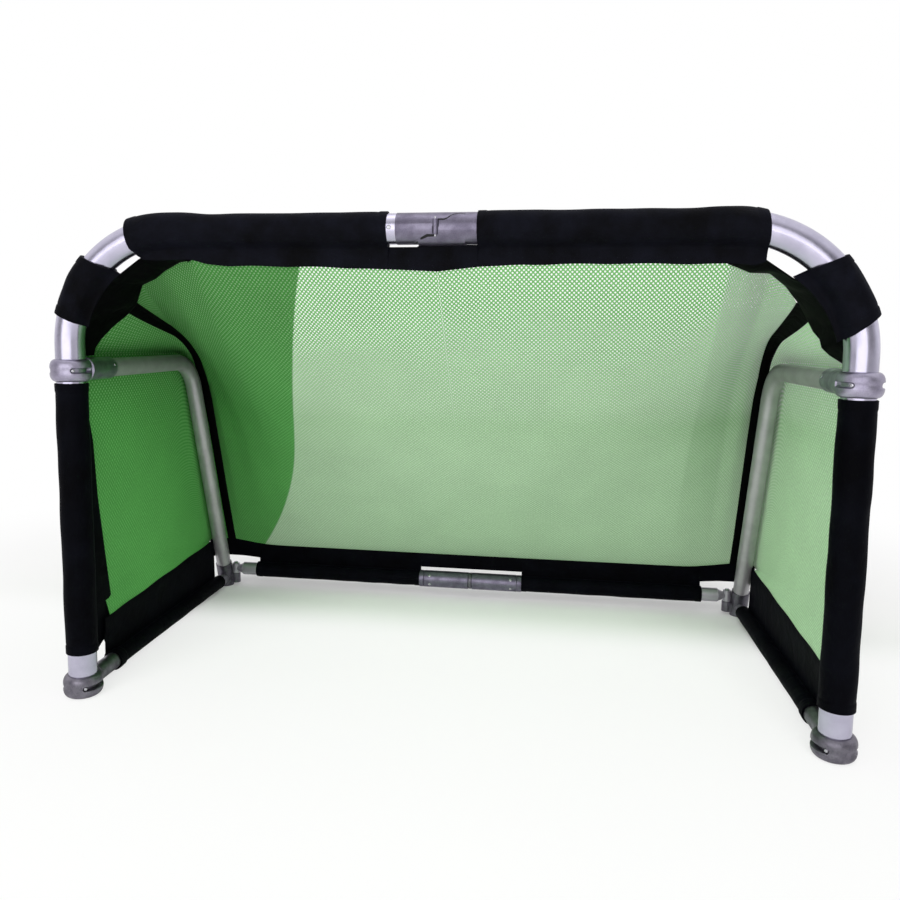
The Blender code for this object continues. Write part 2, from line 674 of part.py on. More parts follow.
def build_side(s, side):
    x, px = s * half, s * pivot_x
    tube("side_tube_" + side, frame_axis(s), SIDE_TUBE, SIDE_WALL, "tube", 16)
    start = NECK_LENGTH - NECK_OVERLAP + 0.002
    ground = tube(
        "ground_tube_" + side,
        [Vector((x, start, foot_z)), Vector((x, REAR_DEPTH - GROUND_SEAT_GAP, foot_z))],
        GROUND_TUBE, GROUND_WALL, "tube", 16,
    )
    collar("upper_collar_" + side, s, upper_z, SIDE_TUBE)
    collar("foot_collar_" + side, s, foot_z, GROUND_TUBE)
    for label, z, d in (("upper_rivet_", upper_z, SIDE_TUBE), ("foot_rivet_", foot_z, GROUND_TUBE)):
        out = Vector((-s, 0, 0.35)).normalized()
        base = Vector((x, NECK_LENGTH - 0.009, z)) + out * (d / 2 + NECK_WALL)
        rivet(label + side, base, out)

    # Rear corner: hub with sockets for the post and the ground tube, and a lug for the pivot.
    hub = place(
        "rear_corner_" + side,
        cylinder((x, REAR_DEPTH, 0), (x, REAR_DEPTH, HUB_HEIGHT), HUB_RADIUS, 28), "cast",
    )
    low, high = along_post(HUB_HEIGHT * 0.6), along_post(SOCKET_HEIGHT)
    join(hub, cylinder((x, low.y, low.z), (x, high.y, high.z), HUB_RADIUS, 28), "socket")
    lug_top = REAR_HEIGHT - EYE_HEIGHT / 2 - CLEAR
    lug = (px, REAR_DEPTH)
    join(hub, cylinder((*lug, 0.008), (*lug, lug_top), LUG_RADIUS, 24), "lug")
    wide = LUG_RADIUS * 0.9
    join(hub, box((px, REAR_DEPTH - wide, 0.008), (x, REAR_DEPTH + wide, lug_top)), "bridge")
    foot, above = along_post(POST_SEAT_HEIGHT), along_post(0.1)
    cut(hub, cylinder((x, foot.y, foot.z), (x, above.y, above.z), side_r + CLEAR, 20), "post_seat")
    wall = REAR_DEPTH - GROUND_SEAT_GAP
    cut(hub, cylinder((x, wall - 0.1, foot_z), (x, wall + CLEAR, foot_z), ground_r + CLEAR, 20),
        "ground_seat")
    floor = lug_top + CLEAR / 3
    cut(hub, cylinder((*lug, floor), (*lug, 0.1), EYE_RADIUS + 0.0008, 24), "eye_room")
    cut(hub, cylinder((*lug, 0.004), (*lug, 0.1), CORNER_PIN / 2 + CLEAR / 2, 16), "pin_hole")

    head = REAR_HEIGHT + EYE_HEIGHT / 2 + CLEAR
    pivot = place(
        "corner_pin_" + side, cylinder((*lug, 0.009), (*lug, head + 0.001), CORNER_PIN / 2, 16),
        "steel",
    )
    join(pivot, cylinder((*lug, head), (*lug, head + 0.003), CORNER_PIN * 0.95, 16,
                         CORNER_PIN * 0.6), "head")

    # Cloth on the side: band on the ground tube, sleeve on the upright, seam, net.
    ring_r = ground_r + CLEAR
    band = place(
        "side_band_" + side,
        cylinder((x, band_start, foot_z), (x, band_end, foot_z), ring_r + CLOTH, 24), "fabric",
    )
    outer = x + s * (ring_r + CLOTH * 0.9)
    low = foot_z + 0.001
    join(band, box((outer, band_start, low), (outer - s * FLAP, band_end, BAND_HEIGHT)), "flap")
    cut(band, cylinder((x, band_start - 0.01, foot_z), (x, band_end + 0.01, foot_z), ring_r, 24),
        "bore")

    top = upper_z - COLLAR_HEIGHT / 2 - 0.003
    skin = front_r + CLEAR
    sleeve = place(
        "upright_sleeve_" + side,
        cylinder((x, 0, UPRIGHT_SLEEVE_HEIGHT), (x, 0, top), skin + CLOTH, 28), "fabric",
    )
    root = 0.0142
    wing = [(root, BAND_HEIGHT + 0.002), (FLAP_FOOT_WIDTH, BAND_HEIGHT + 0.002), (FLAP_TOP_WIDTH, top), (root, top)]
    plate = prism(wing, 0, x + s * FLAP_OFFSET, x + s * (FLAP_OFFSET + FLAP * 0.8))
    join(sleeve, plate, "flap")
    cut(sleeve, cylinder((x, 0, UPRIGHT_SLEEVE_HEIGHT - 0.01), (x, 0, top + 0.01), skin, 28), "bore")

    rows = []
    count = 16
    for i in range(count + 1):
        centre = seam(s, i / count)
        wide = Vector((s * SEAM_WIDTH / 2, 0, 0))
        rows.append([centre - wide, centre + wide])
    sheet("net_seam_" + side, rows, SEAM_THICK, "fabric")
    net("side_net_" + side, side_surface(s), SIDE_CELLS, STRAND)


def build_rear(s, side):
    px = s * pivot_x
    y, z = REAR_DEPTH, REAR_HEIGHT
    flange = s * (pivot_x - KNUCKLE_FLANGE)
    end = s * (SLEEVE_GAP / 2 + SLEEVE_WEB + CLEAR)
    tube("rear_tube_" + side, [Vector((flange - s * CLEAR, y, z)), Vector((end, y, z))],
         REAR_TUBE, REAR_WALL, "tube", 16)

    knuckle = place(
        "rear_knuckle_" + side,
        cylinder((px, y, z - EYE_HEIGHT / 2), (px, y, z + EYE_HEIGHT / 2), EYE_RADIUS, 24), "cast",
    )
    join(knuckle, cylinder((px, y, z), (flange + s * 0.002, y, z), KNUCKLE_NECK, 20), "neck")
    join(knuckle, cylinder((flange + s * 0.004, y, z), (flange, y, z), rear_r * 0.8, 20, rear_r),
         "flange")
    join(knuckle, cylinder((flange + s * 0.002, y, z), (flange - s * SPIGOT_LENGTH, y, z),
                           rear_r - REAR_WALL - CLEAR, 20), "spigot")
    cut(knuckle, cylinder((px, y, z - 0.05), (px, y, z + 0.05), CORNER_PIN / 2 + CLEAR / 2, 16),
        "pin_hole")

    # Joint sleeve with an ear behind: left ear above, right ear below.
    near = s * SLEEVE_GAP / 2
    far = near + s * SLEEVE_LENGTH
    joint = place(
        "rear_joint_" + side, cylinder((near, y, z), (far, y, z), SLEEVE_RADIUS, 28), "cast"
    )
    low, high = (CLEAR / 2, EAR_HEIGHT) if s < 0 else (-EAR_HEIGHT, -CLEAR / 2)
    join(joint, cylinder((0, rear_pin_y, z + low), (0, rear_pin_y, z + high), REAR_BARREL, 20),
         "barrel")
    join(joint, box((0, y + rear_r * 0.55, z + low),
                    (near + s * SLEEVE_WEB, rear_pin_y + REAR_BARREL * 0.55, z + high)), "ear")
    cut(joint, cylinder((near + s * SLEEVE_WEB, y, z), (far + s * 0.01, y, z), rear_r + CLEAR, 20),
        "bore")
    hole = REAR_HINGE_PIN / 2 + (CLEAR / 2 if s < 0 else REAR_HINGE_PLAY)
    cut(joint, cylinder((0, rear_pin_y, z - 0.05), (0, rear_pin_y, z + 0.05), hole, 16), "pin_hole")

    for number, (reach, angle) in enumerate(((0.094, -0.45), (0.094, 0.62))):
        out = Vector((0, -math.cos(angle), math.sin(angle)))
        base = Vector((s * reach, y, z)) + out * SLEEVE_RADIUS
        rivet("rear_rivet_%s_%s" % (("low", "high")[number], side), base, out)

    ring_r = rear_r + CLEAR
    band = place(
        "rear_band_" + side,
        cylinder((s * rear_band[0], y, z), (s * rear_band[1], y, z), ring_r + CLOTH, 24),
        "fabric",
    )
    back = y + ring_r + CLOTH * 0.9
    inner, outer = s * rear_band[0], s * rear_band[1]
    skirt = [
        (inner, z + 0.001), (outer, z + 0.001), (outer, strip_foot),
        (s * strip_end, strip_foot), (s * strip_end, strip_top),
        (s * CLEAR, strip_top), (s * CLEAR, strip_foot), (inner, strip_foot),
    ]
    join(band, prism(skirt, 1, back - FLAP, back), "flap")
    cut(band, cylinder((s * (rear_band[0] - 0.01), y, z), (s * (rear_band[1] + 0.01), y, z),
                       ring_r, 24), "bore")


for s, side in ((-1, "left"), (1, "right")):
    build_front(s, side)
    build_side(s, side)
    build_rear(s, side)

bar_hinge = place(
    "bar_hinge_pin",
    cylinder((0, bar_pin_y, BAR_HEIGHT - TONGUE_HEIGHT * 1.25),
             (0, bar_pin_y, BAR_HEIGHT + TONGUE_HEIGHT * 1.25), BAR_PIN / 2, 16), "steel",
)
rear_hinge = place(
    "rear_hinge_pin",
    cylinder((0, rear_pin_y, REAR_HEIGHT - EAR_HEIGHT - 0.001),
             (0, rear_pin_y, REAR_HEIGHT + EAR_HEIGHT + 0.001), REAR_HINGE_PIN / 2, 16), "steel",
)

for obj in bpy.data.objects:
    obj.location.y = (COLLAR_RADIUS - rear_pin_y - REAR_BARREL) / 2
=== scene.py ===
# Looks of a small folding football goal: bent aluminium tubes, cast swivel collars and joints, black
# nylon covers and a green knitted net. Everything is in metres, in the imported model's own frame.
import math

import bmesh
import bpy
import numpy as np
from mathutils import Matrix, Vector


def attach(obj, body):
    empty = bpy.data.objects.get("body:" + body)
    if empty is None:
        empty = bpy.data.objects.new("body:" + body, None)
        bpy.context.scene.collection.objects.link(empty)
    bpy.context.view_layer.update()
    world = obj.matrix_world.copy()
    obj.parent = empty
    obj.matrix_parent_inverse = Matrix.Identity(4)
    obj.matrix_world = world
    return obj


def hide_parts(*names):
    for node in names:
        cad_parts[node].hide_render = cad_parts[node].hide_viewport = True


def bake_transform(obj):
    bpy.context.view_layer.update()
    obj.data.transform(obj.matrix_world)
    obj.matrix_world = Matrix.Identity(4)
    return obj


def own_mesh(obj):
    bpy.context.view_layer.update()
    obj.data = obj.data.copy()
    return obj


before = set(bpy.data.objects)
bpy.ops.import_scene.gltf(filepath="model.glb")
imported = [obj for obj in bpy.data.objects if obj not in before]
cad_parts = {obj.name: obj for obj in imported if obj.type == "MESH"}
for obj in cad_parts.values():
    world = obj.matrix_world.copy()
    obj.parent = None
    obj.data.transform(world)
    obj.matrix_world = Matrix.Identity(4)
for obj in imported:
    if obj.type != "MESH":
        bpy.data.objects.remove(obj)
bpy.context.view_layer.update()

# Shapes are worked out for the half with x > 0 and with the uprights at y = 0, then mirrored and moved.
goal = {
    "mouthY": -0.3028,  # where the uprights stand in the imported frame
    "post": 0.600, "bar": 0.770, "bend": 0.180,  # axes of upright and crossbar, radius of the bend
    "frontTube": 0.023, "sideTube": 0.0165, "groundTube": 0.0125, "rearTube": 0.015,  # radii
    "sideZ": 0.550, "topDepth": 0.433, "sideBend": 0.085,  # side frame's upper run and its corner
    "rearY": 0.607, "rearZ": 0.043, "groundZ": 0.0186, "postFoot": 0.0185,
    "pivotX": 0.574,  # upright pin at the rear corner
}
sides = {"left": -1, "right": 1}
post = goal["post"]


def unit(v):
    # each vector divided by its length
    return v / np.linalg.norm(v, axis=-1, keepdims=True)


def points(x, y, z):
    # points from their three numbers, each a single value or an array
    return np.stack(np.broadcast_arrays(x, y, z), axis=-1)


def fullTurn(count):
    # angles at even steps round a circle, without the last one that would meet the first
    return np.linspace(0, 2 * math.pi, count, endpoint=False)


def smooth(x, low=0.0, high=1.0):
    # 0 below low, 1 above high, and between them 3 t^2 - 2 t^3 of the share t
    t = np.clip((np.asarray(x, float) - low) / (high - low), 0, 1)
    return t * t * (3 - 2 * t)


def evenly(line, count):
    # the same line as count points at even steps of its length
    line = np.asarray(line, float)
    reached = np.concatenate([[0], np.cumsum(np.linalg.norm(np.diff(line, axis=0), axis=1))])
    at = np.linspace(0, 1, count) * reached[-1]
    return points(*(np.interp(at, reached, line[:, k]) for k in range(3)))


def roundedLine(a, corner, b, radius, steps=40):
    # straight from a towards the corner, round it on an arc, straight on to b
    a, corner, b = (np.array(p, float) for p in (a, corner, b))
    back, on = unit(a - corner), unit(b - corner)
    opening = math.acos(back @ on)
    middle = corner + unit(back + on) * radius / math.sin(opening / 2)
    start = corner + back * radius / math.tan(opening / 2) - middle
    end = corner + on * radius / math.tan(opening / 2) - middle
    across = unit(end - start * (end @ start) / (start @ start)) * radius
    turn = np.linspace(0, math.pi - opening, steps + 1)[:, None]
    return np.vstack([a, middle + start * np.cos(turn) + across * np.sin(turn), b])


def frontLine(length):
    # axis of the front tube by length from the middle of the crossbar: straight out, a quarter
    # circle, then straight down
    s = np.asarray(length, float)
    straight, bend = post - goal["bend"], goal["bend"]
    turn = np.clip((s - straight) / bend, 0, math.pi / 2)
    x = np.minimum(s, straight) + bend * np.sin(turn)
    z = goal["bar"] - bend * (1 - np.cos(turn)) - np.maximum(s - straight - bend * math.pi / 2, 0)
    return points(x, 0, z)


def alongPost(z):
    # a point of the slanted rear post's axis at a height
    share = (goal["sideZ"] - z) / (goal["sideZ"] - goal["postFoot"])
    y = goal["topDepth"] + (goal["rearY"] - goal["topDepth"]) * share
    return np.array([post, y, z])


def carry(line, normal, section, lean=0.0):
    # a section carried along a line that turns about one direction: its first number goes along that
    # direction, its second along the cross product of direction and heading, and its points lean
    # along the heading by a share of the second
    heading = unit(np.gradient(line, axis=0))
    across = unit(np.cross(normal, heading))
    section = np.broadcast_to(section, (len(line), *section.shape[-2:]))
    sideways = section[..., :1] * np.array(normal, float) + section[..., 1:] * across[:, None]
    ahead = section[..., 1:] * np.reshape(lean, (-1, 1, 1)) * heading[:, None]
    return line[:, None] + sideways + ahead


def ring(radius, count=64):
    # circle as a section: radius times sine and minus cosine of the turn
    turn = np.linspace(-math.pi, math.pi, count, endpoint=False)
    return np.stack([radius * np.sin(turn), -radius * np.cos(turn)], axis=-1)


def shell(outer, inner, lip=0.0006):
    # outer wall, rounded lip, inner wall and second lip as one grid that is closed both ways
    first = (outer[0] + inner[0]) / 2 + unit(outer[0] - outer[1]) * lip
    last = (outer[-1] + inner[-1]) / 2 + unit(outer[-1] - outer[-2]) * lip
    return np.concatenate([first[None], outer, last[None], inner[::-1]])


def spun(profile, base, axis, count=32):
    # a profile of radius and height turned round an axis that starts at a base point
    axis = unit(np.array(axis, float))
    other = np.array([0, 0, 1.0]) if abs(axis[2]) < 0.9 else np.array([1.0, 0, 0])
    a = unit(np.cross(axis, other))
    b = np.cross(axis, a)
    turn = fullTurn(count)[None, :, None]
    radius, height = (np.array(profile, float)[:, k, None, None] for k in (0, 1))
    return np.array(base) + height * axis + radius * (a * np.cos(turn) + b * np.sin(turn))


def patch(grid, loopRows=False, loopColumns=True, caps=False):
    # a grid of points and how it closes: along its rows, along its columns, or with a face at both ends
    return {"grid": grid, "rows": loopRows, "columns": loopColumns, "caps": caps}


def buildPiece(name, side, patches, sharp=40):
    # grids of points to one mesh: quads between neighbours, UV in metres along rows and columns,
    # mirrored for the left half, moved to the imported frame, faces turned outwards by their volume
    corners, faces, mapped, start = [], [], [], 0
    for p in patches:
        grid = np.asarray(p["grid"], float)
        rows, columns = grid.shape[:2]
        r, c = (k.ravel() for k in np.meshgrid(
            np.arange(rows - (not p["rows"])), np.arange(columns - (not p["columns"])), indexing="ij"))
        r2, c2 = r + 1, c + 1
        quads = np.stack([r * columns + c, r * columns + c2 % columns,
                          r2 % rows * columns + c2 % columns, r2 % rows * columns + c], axis=1)
        down = np.linalg.norm(np.diff(np.vstack([grid, grid[:1]]), axis=0), axis=2).mean(axis=1)
        over = np.linalg.norm(np.diff(np.hstack([grid, grid[:, :1]]), axis=1), axis=2).mean(axis=0)
        u, v = (np.concatenate([[0], np.cumsum(k)]) for k in (over, down))
        uv = np.stack([np.stack([u[j], v[i]], axis=-1)
                       for i, j in ((r, c), (r, c2), (r2, c2), (r2, c))], axis=1)
        flat = grid.reshape(-1, 3)
        if p["caps"] or (p["rows"] and p["columns"]):
            a, b, d, e = (flat[quads[:, k]] for k in range(4))
            volume = (a * np.cross(b, d) + a * np.cross(d, e)).sum()
            if p["caps"]:
                for k, order in ((0, -1), (rows - 1, 1)):
                    cap = flat[k * columns:(k + 1) * columns][::order]
                    volume += (cap[0] * np.cross(cap[1:-1], cap[2:])).sum()
        else:
            volume = side
        turned = volume * side < 0
        if turned:
            quads, uv = quads[:, ::-1], uv[:, ::-1]
        faces += (quads + start).tolist()
        mapped.append(uv.reshape(-1, 2))
        if p["caps"]:
            for k, order in ((0, -1), (rows - 1, 1)):
                cap = (np.arange(columns) + k * columns + start)[::order * (-1 if turned else 1)]
                faces.append(cap.tolist())
                mapped.append(np.zeros((columns, 2)))
        corners.append(flat)
        start += len(flat)
    corners = np.vstack(corners) * [side, 1, 1] + [0, goal["mouthY"], 0]
    mesh = bpy.data.meshes.new(name)
    mesh.from_pydata(corners, [], faces)
    mesh.uv_layers.new(name="UVMap").data.foreach_set("uv", np.vstack(mapped).astype(np.float32).ravel())
    mesh.polygons.foreach_set("use_smooth", np.ones(len(faces), bool))
    mesh.set_sharp_from_angle(angle=math.radians(sharp))
    return addObject(name, mesh)


def addObject(name, data):
    obj = bpy.data.objects.new(name, data)
    bpy.context.scene.collection.objects.link(obj)
    return obj


def linear(code, alpha=1.0):
    # sRGB hex to the linear colour that shaders take
    value = np.array([int(code[k:k + 2], 16) for k in (1, 3, 5)]) / 255
    value = np.where(value <= 0.04045, value / 12.92, ((value + 0.055) / 1.055) ** 2.4)
    return (*value.tolist(), alpha)


def connect(tree, node, links):
    # by input: a socket, or a node, which stands for its first output in use
    for key, source in links.items():
        if hasattr(source, "outputs"):
            source = next(output for output in source.outputs if output.enabled)
        tree.links.new(source, node.inputs[key])


def addNode(tree, kind, values=None, links=None, **settings):
    # a node with its settings, the values of its inputs and what is linked to them
    node = tree.nodes.new("ShaderNode" + kind)
    for key, value in settings.items():
        setattr(node, key, value)
    for key, value in (values or {}).items():
        node.inputs[key].default_value = value
    connect(tree, node, links or {})
    return node


def setRamp(node, colours, places=(0.0, 1.0)):
    for element, colour, place in zip(node.color_ramp.elements, colours, places):
        element.position, element.color = place, linear(colour)


def newMaterial(name, values):
    # a material, its node tree and its shader, with the numbers that are the same all over
    made = bpy.data.materials.new(name)
    made.use_nodes = True
    tree = made.node_tree
    shader = tree.nodes["Principled BSDF"]
    for key, value in values.items():
        shader.inputs[key].default_value = value
    return made, tree, shader


def drawnAluminium(name, colours, roughness, metallic=1.0):
    # Drawn and polished aluminium tube: soft bright reflections, faint lines along the tube from the
    # drawing die, cloudy handling marks and a few darker scuffs.
    made, tree, shader = newMaterial(name, {"Metallic": metallic})
    where = addNode(tree, "TexCoord")
    lines = addNode(tree, "Mapping", {"Scale": (900.0, 14.0, 1.0)}, {"Vector": where.outputs["UV"]})
    drawn = addNode(tree, "TexNoise", {"Scale": 1.0, "Detail": 3.0}, {"Vector": lines})
    cloud = addNode(tree, "TexNoise", {"Scale": 26.0, "Detail": 5.0, "Roughness": 0.6},
                    {"Vector": where.outputs["Object"]})
    scuff = addNode(tree, "TexNoise", {"Scale": 210.0, "Detail": 4.0, "Roughness": 0.7},
                    {"Vector": where.outputs["Object"]})
    tone = addNode(tree, "ValToRGB", links={"Fac": cloud})
    setRamp(tone, colours, (0.32, 0.68))
    worn = addNode(tree, "MapRange", {"From Min": 0.62, "From Max": 0.78, "To Min": 0.0, "To Max": 0.14},
                   {"Value": scuff})
    mixed = addNode(tree, "Mix", {7: linear("#77737c")},
                    {0: worn, 6: tone}, data_type="RGBA")
    rough = addNode(tree, "MapRange", {"From Min": 0.3, "From Max": 0.7, "To Min": roughness - 0.02,
                                       "To Max": roughness + 0.03}, {"Value": cloud})
    bump = addNode(tree, "Bump", {"Strength": 0.12, "Distance": 0.0004}, {"Height": drawn})
    connect(tree, shader, {"Base Color": mixed, "Roughness": rough, "Normal": bump})
    return made


def castAluminium(name, colours, roughness, grain=1.0):
    # Die-cast aluminium, tumbled but not machined: grainy skin about 1 mm across, duller than the
    # tube, with darker pits and brighter rubbed patches.
    made, tree, shader = newMaterial(name, {"Metallic": 1.0})
    where = addNode(tree, "TexCoord")
    skin = addNode(tree, "TexNoise", {"Scale": 850.0 * grain, "Detail": 4.0, "Roughness": 0.65},
                   {"Vector": where.outputs["Object"]})
    cloud = addNode(tree, "TexNoise", {"Scale": 60.0, "Detail": 4.0}, {"Vector": where.outputs["Object"]})
    both = addNode(tree, "Math", links={0: skin, 1: cloud}, operation="ADD")
    half = addNode(tree, "Math", {1: 0.5}, {0: both}, operation="MULTIPLY")
    tone = addNode(tree, "ValToRGB", links={"Fac": half})
    setRamp(tone, colours, (0.38, 0.62))
    rough = addNode(tree, "MapRange", {"From Min": 0.3, "From Max": 0.7, "To Min": roughness + 0.1,
                                       "To Max": roughness - 0.07}, {"Value": cloud})
    bump = addNode(tree, "Bump", {"Strength": 0.35, "Distance": 0.0005}, {"Height": skin})
    connect(tree, shader, {"Base Color": tone, "Roughness": rough, "Normal": bump})
    return made


def wovenNylon(name, colours, sheen):
    # Coated black nylon cloth: nearly black with a blue-grey sheen where it turns away, a plain weave
    # drawn at 1.6 mm (the real 0.4 mm would not show), soft creases and a little dust.
    made, tree, shader = newMaterial(name, {
        "Roughness": 0.60, "Specular IOR Level": 0.03, "Sheen Weight": sheen, "Sheen Roughness": 0.45,
        "Sheen Tint": linear("#8d8fc4")})
    where = addNode(tree, "TexCoord")
    cloud = addNode(tree, "TexNoise", {"Scale": 17.0, "Detail": 5.0, "Roughness": 0.62},
                    {"Vector": where.outputs["Object"]})
    tone = addNode(tree, "ValToRGB", links={"Fac": cloud})
    setRamp(tone, colours, (0.35, 0.70))
    across = addNode(tree, "TexWave", {"Scale": 98.0, "Distortion": 0.0}, {"Vector": where.outputs["UV"]},
                     bands_direction="X")
    down = addNode(tree, "TexWave", {"Scale": 98.0, "Distortion": 0.0}, {"Vector": where.outputs["UV"]},
                   bands_direction="Y")
    weave = addNode(tree, "Math", links={0: across.outputs["Fac"], 1: down.outputs["Fac"]},
                    operation="MULTIPLY")
    crease = addNode(tree, "TexNoise", {"Scale": 34.0, "Detail": 3.0, "Roughness": 0.5,
                                        "Distortion": 0.6}, {"Vector": where.outputs["Object"]})
    fine = addNode(tree, "Bump", {"Strength": 0.25, "Distance": 0.0003},
                   {"Height": weave})
    soft = addNode(tree, "Bump", {"Strength": 0.45, "Distance": 0.004},
                   {"Height": crease, "Normal": fine})
    connect(tree, shader, {"Base Color": tone, "Normal": soft})
    return made


def zincSteel(name):
    # Zinc-plated steel pin or rivet: bright, slightly blue, with small rubbed marks.
    made, tree, shader = newMaterial(name, {"Metallic": 1.0})
    where = addNode(tree, "TexCoord")
    marks = addNode(tree, "TexNoise", {"Scale": 900.0, "Detail": 3.0}, {"Vector": where.outputs["Object"]})
    tone = addNode(tree, "ValToRGB", links={"Fac": marks})
    setRamp(tone, ("#8d8c93", "#dcdbe2"))
    rough = addNode(tree, "MapRange", {"To Min": 0.16, "To Max": 0.34}, {"Value": marks})
    connect(tree, shader, {"Base Color": tone, "Roughness": rough})
    return made


def mouldedPlastic(name, colours=("#141416", "#34343a")):
    # Black moulded polyethylene: matt, finely grained, a little paler where the grain stands up.
    made, tree, shader = newMaterial(name, {"Specular IOR Level": 0.4})
    where = addNode(tree, "TexCoord")
    grain = addNode(tree, "TexNoise", {"Scale": 1400.0, "Detail": 3.0}, {"Vector": where.outputs["Object"]})
    tone = addNode(tree, "ValToRGB", links={"Fac": grain})
    setRamp(tone, colours)
    rough = addNode(tree, "MapRange", {"To Min": 0.5, "To Max": 0.75}, {"Value": grain})
    bump = addNode(tree, "Bump", {"Strength": 0.3, "Distance": 0.0003}, {"Height": grain})
    connect(tree, shader, {"Base Color": tone, "Roughness": rough, "Normal": bump})
    return made


netLook = {
    "pitch": (0.0070, 0.0084),  # hole spacing across, and down over two staggered rows
    "hole": 0.285,  # half width of a hole as a share of its cell
    "pale": ("#8eb887", "#74b16c"),  # threads in the painted shade, lower down and near the top
    "paleHole": ("#bfd5ba", "#f8fcf7"),  # lint across a hole there
    "holeCover": (0.94, 0.27),  # how much it covers
    "deep": ("#488c44", "#3f7d39"),  # threads where the netting is dense
    "deepHole": ("#6db066", "#779f71"),  # painted light that shows in its holes there
    "edge": (-0.5949, 1.0043, -1.2042, 0.7641),  # the painted shade ends at x = a + b z + c z^2 + d z^3
}


def knittedNet(name, paintedLightGain=1.0):
    # Warp-knitted polyester netting with staggered 3 mm holes. The third on the left carries painted
    # shade: deeper green threads, and its holes closed. The rest lets the light through, with painted light
    # as a pale colour over part of each hole. Its holes are drawn sharp near the crossbar and blend with
    # the threads further down and back.
    made, tree, shader = newMaterial(name, {"Roughness": 0.72, "Specular IOR Level": 0.06})
    where = addNode(tree, "TexCoord")
    px, py = netLook["pitch"]
    cells = [addNode(tree, "VectorMath", {1: (1 / px, sign / py, 0.0)}, {0: where.outputs["UV"]},
                     operation="DOT_PRODUCT") for sign in (1, -1)]
    pair = addNode(tree, "CombineXYZ", links=dict(enumerate(cells)))
    part = addNode(tree, "VectorMath", links={0: pair}, operation="FRACTION")
    centred = addNode(tree, "VectorMath", {1: (0.5, 0.5, 0.0)}, {0: part}, operation="SUBTRACT")
    far = addNode(tree, "VectorMath", links={0: centred}, operation="LENGTH")
    place = addNode(tree, "SeparateXYZ", links={"Vector": where.outputs["Object"]})
    height = place.outputs["Z"]
    blur = addNode(tree, "MapRange", {"From Min": 0.58, "From Max": 0.34, "To Min": 0.05, "To Max": 0.30},
                   {"Value": height}, interpolation_type="SMOOTHSTEP")
    first, last = (addNode(tree, "Math", {0: netLook["hole"]}, {1: blur}, operation=way)
                   for way in ("SUBTRACT", "ADD"))
    thread = addNode(tree, "MapRange", links={"Value": far, "From Min": first, "From Max": last})
    a, b, c, d = netLook["edge"]
    line = addNode(tree, "Math", {1: d, 2: c}, {0: height}, operation="MULTIPLY_ADD")
    for value in (b, a):
        line = addNode(tree, "Math", {2: value}, {0: line, 1: height}, operation="MULTIPLY_ADD")
    past = addNode(tree, "Math", links={0: line, 1: place.outputs["X"]}, operation="SUBTRACT")
    # painted shade: the zone left of the line is drawn darker green, with its holes closed
    paintedShadeZone = addNode(tree, "MapRange", {"From Min": -0.002, "From Max": 0.002}, {"Value": past},
                    interpolation_type="SMOOTHSTEP")
    cloud = addNode(tree, "TexNoise", {"Scale": 9.0, "Detail": 4.0, "Roughness": 0.6},
                    {"Vector": where.outputs["Object"]})
    speck = addNode(tree, "TexNoise", {"Scale": 260.0, "Detail": 2.0}, {"Vector": where.outputs["UV"]})
    vary = addNode(tree, "Math", {1: 0.5}, {0: cloud, 2: speck}, operation="MULTIPLY_ADD")
    shade = addNode(tree, "MapRange", {"From Min": 0.55, "From Max": 0.95}, {"Value": vary})
    high = addNode(tree, "MapRange", {"From Min": 0.45, "From Max": 0.66}, {"Value": height})
    pale, deep, paleHole, deepHole = (
        addNode(tree, "Mix", dict(zip((6, 7), map(linear, netLook[key]))), {0: high}, data_type="RGBA")
        for key in ("pale", "deep", "paleHole", "deepHole"))
    strand = addNode(tree, "Mix", links={0: paintedShadeZone, 6: pale, 7: deep}, data_type="RGBA")
    hole = addNode(tree, "Mix", links={0: paintedShadeZone, 6: paleHole, 7: deepHole}, data_type="RGBA")
    colour = addNode(tree, "Mix", links={0: thread, 6: hole, 7: strand}, data_type="RGBA")
    # painted light: the gain scales the netting's whole colour brighter
    worn = addNode(tree, "MapRange", {"To Min": 0.90 * paintedLightGain, "To Max": 1.10 * paintedLightGain}, {"Value": shade})
    toned = addNode(tree, "VectorMath", links={0: colour, "Scale": worn}, operation="SCALE")
    # painted light: the share of each hole closed with the pale hole colour
    paintedHoleCover = addNode(tree, "Mix", dict(zip((2, 3), netLook["holeCover"])), {0: high})
    holeCover = addNode(tree, "Math", links={0: paintedHoleCover, 1: paintedShadeZone}, operation="MAXIMUM")
    closed = addNode(tree, "Math", links={0: thread, 1: holeCover}, operation="MAXIMUM")
    bump = addNode(tree, "Bump", {"Strength": 0.25, "Distance": 0.0008}, {"Height": thread})
    connect(tree, shader, {"Base Color": toned, "Alpha": closed, "Normal": bump})
    return made


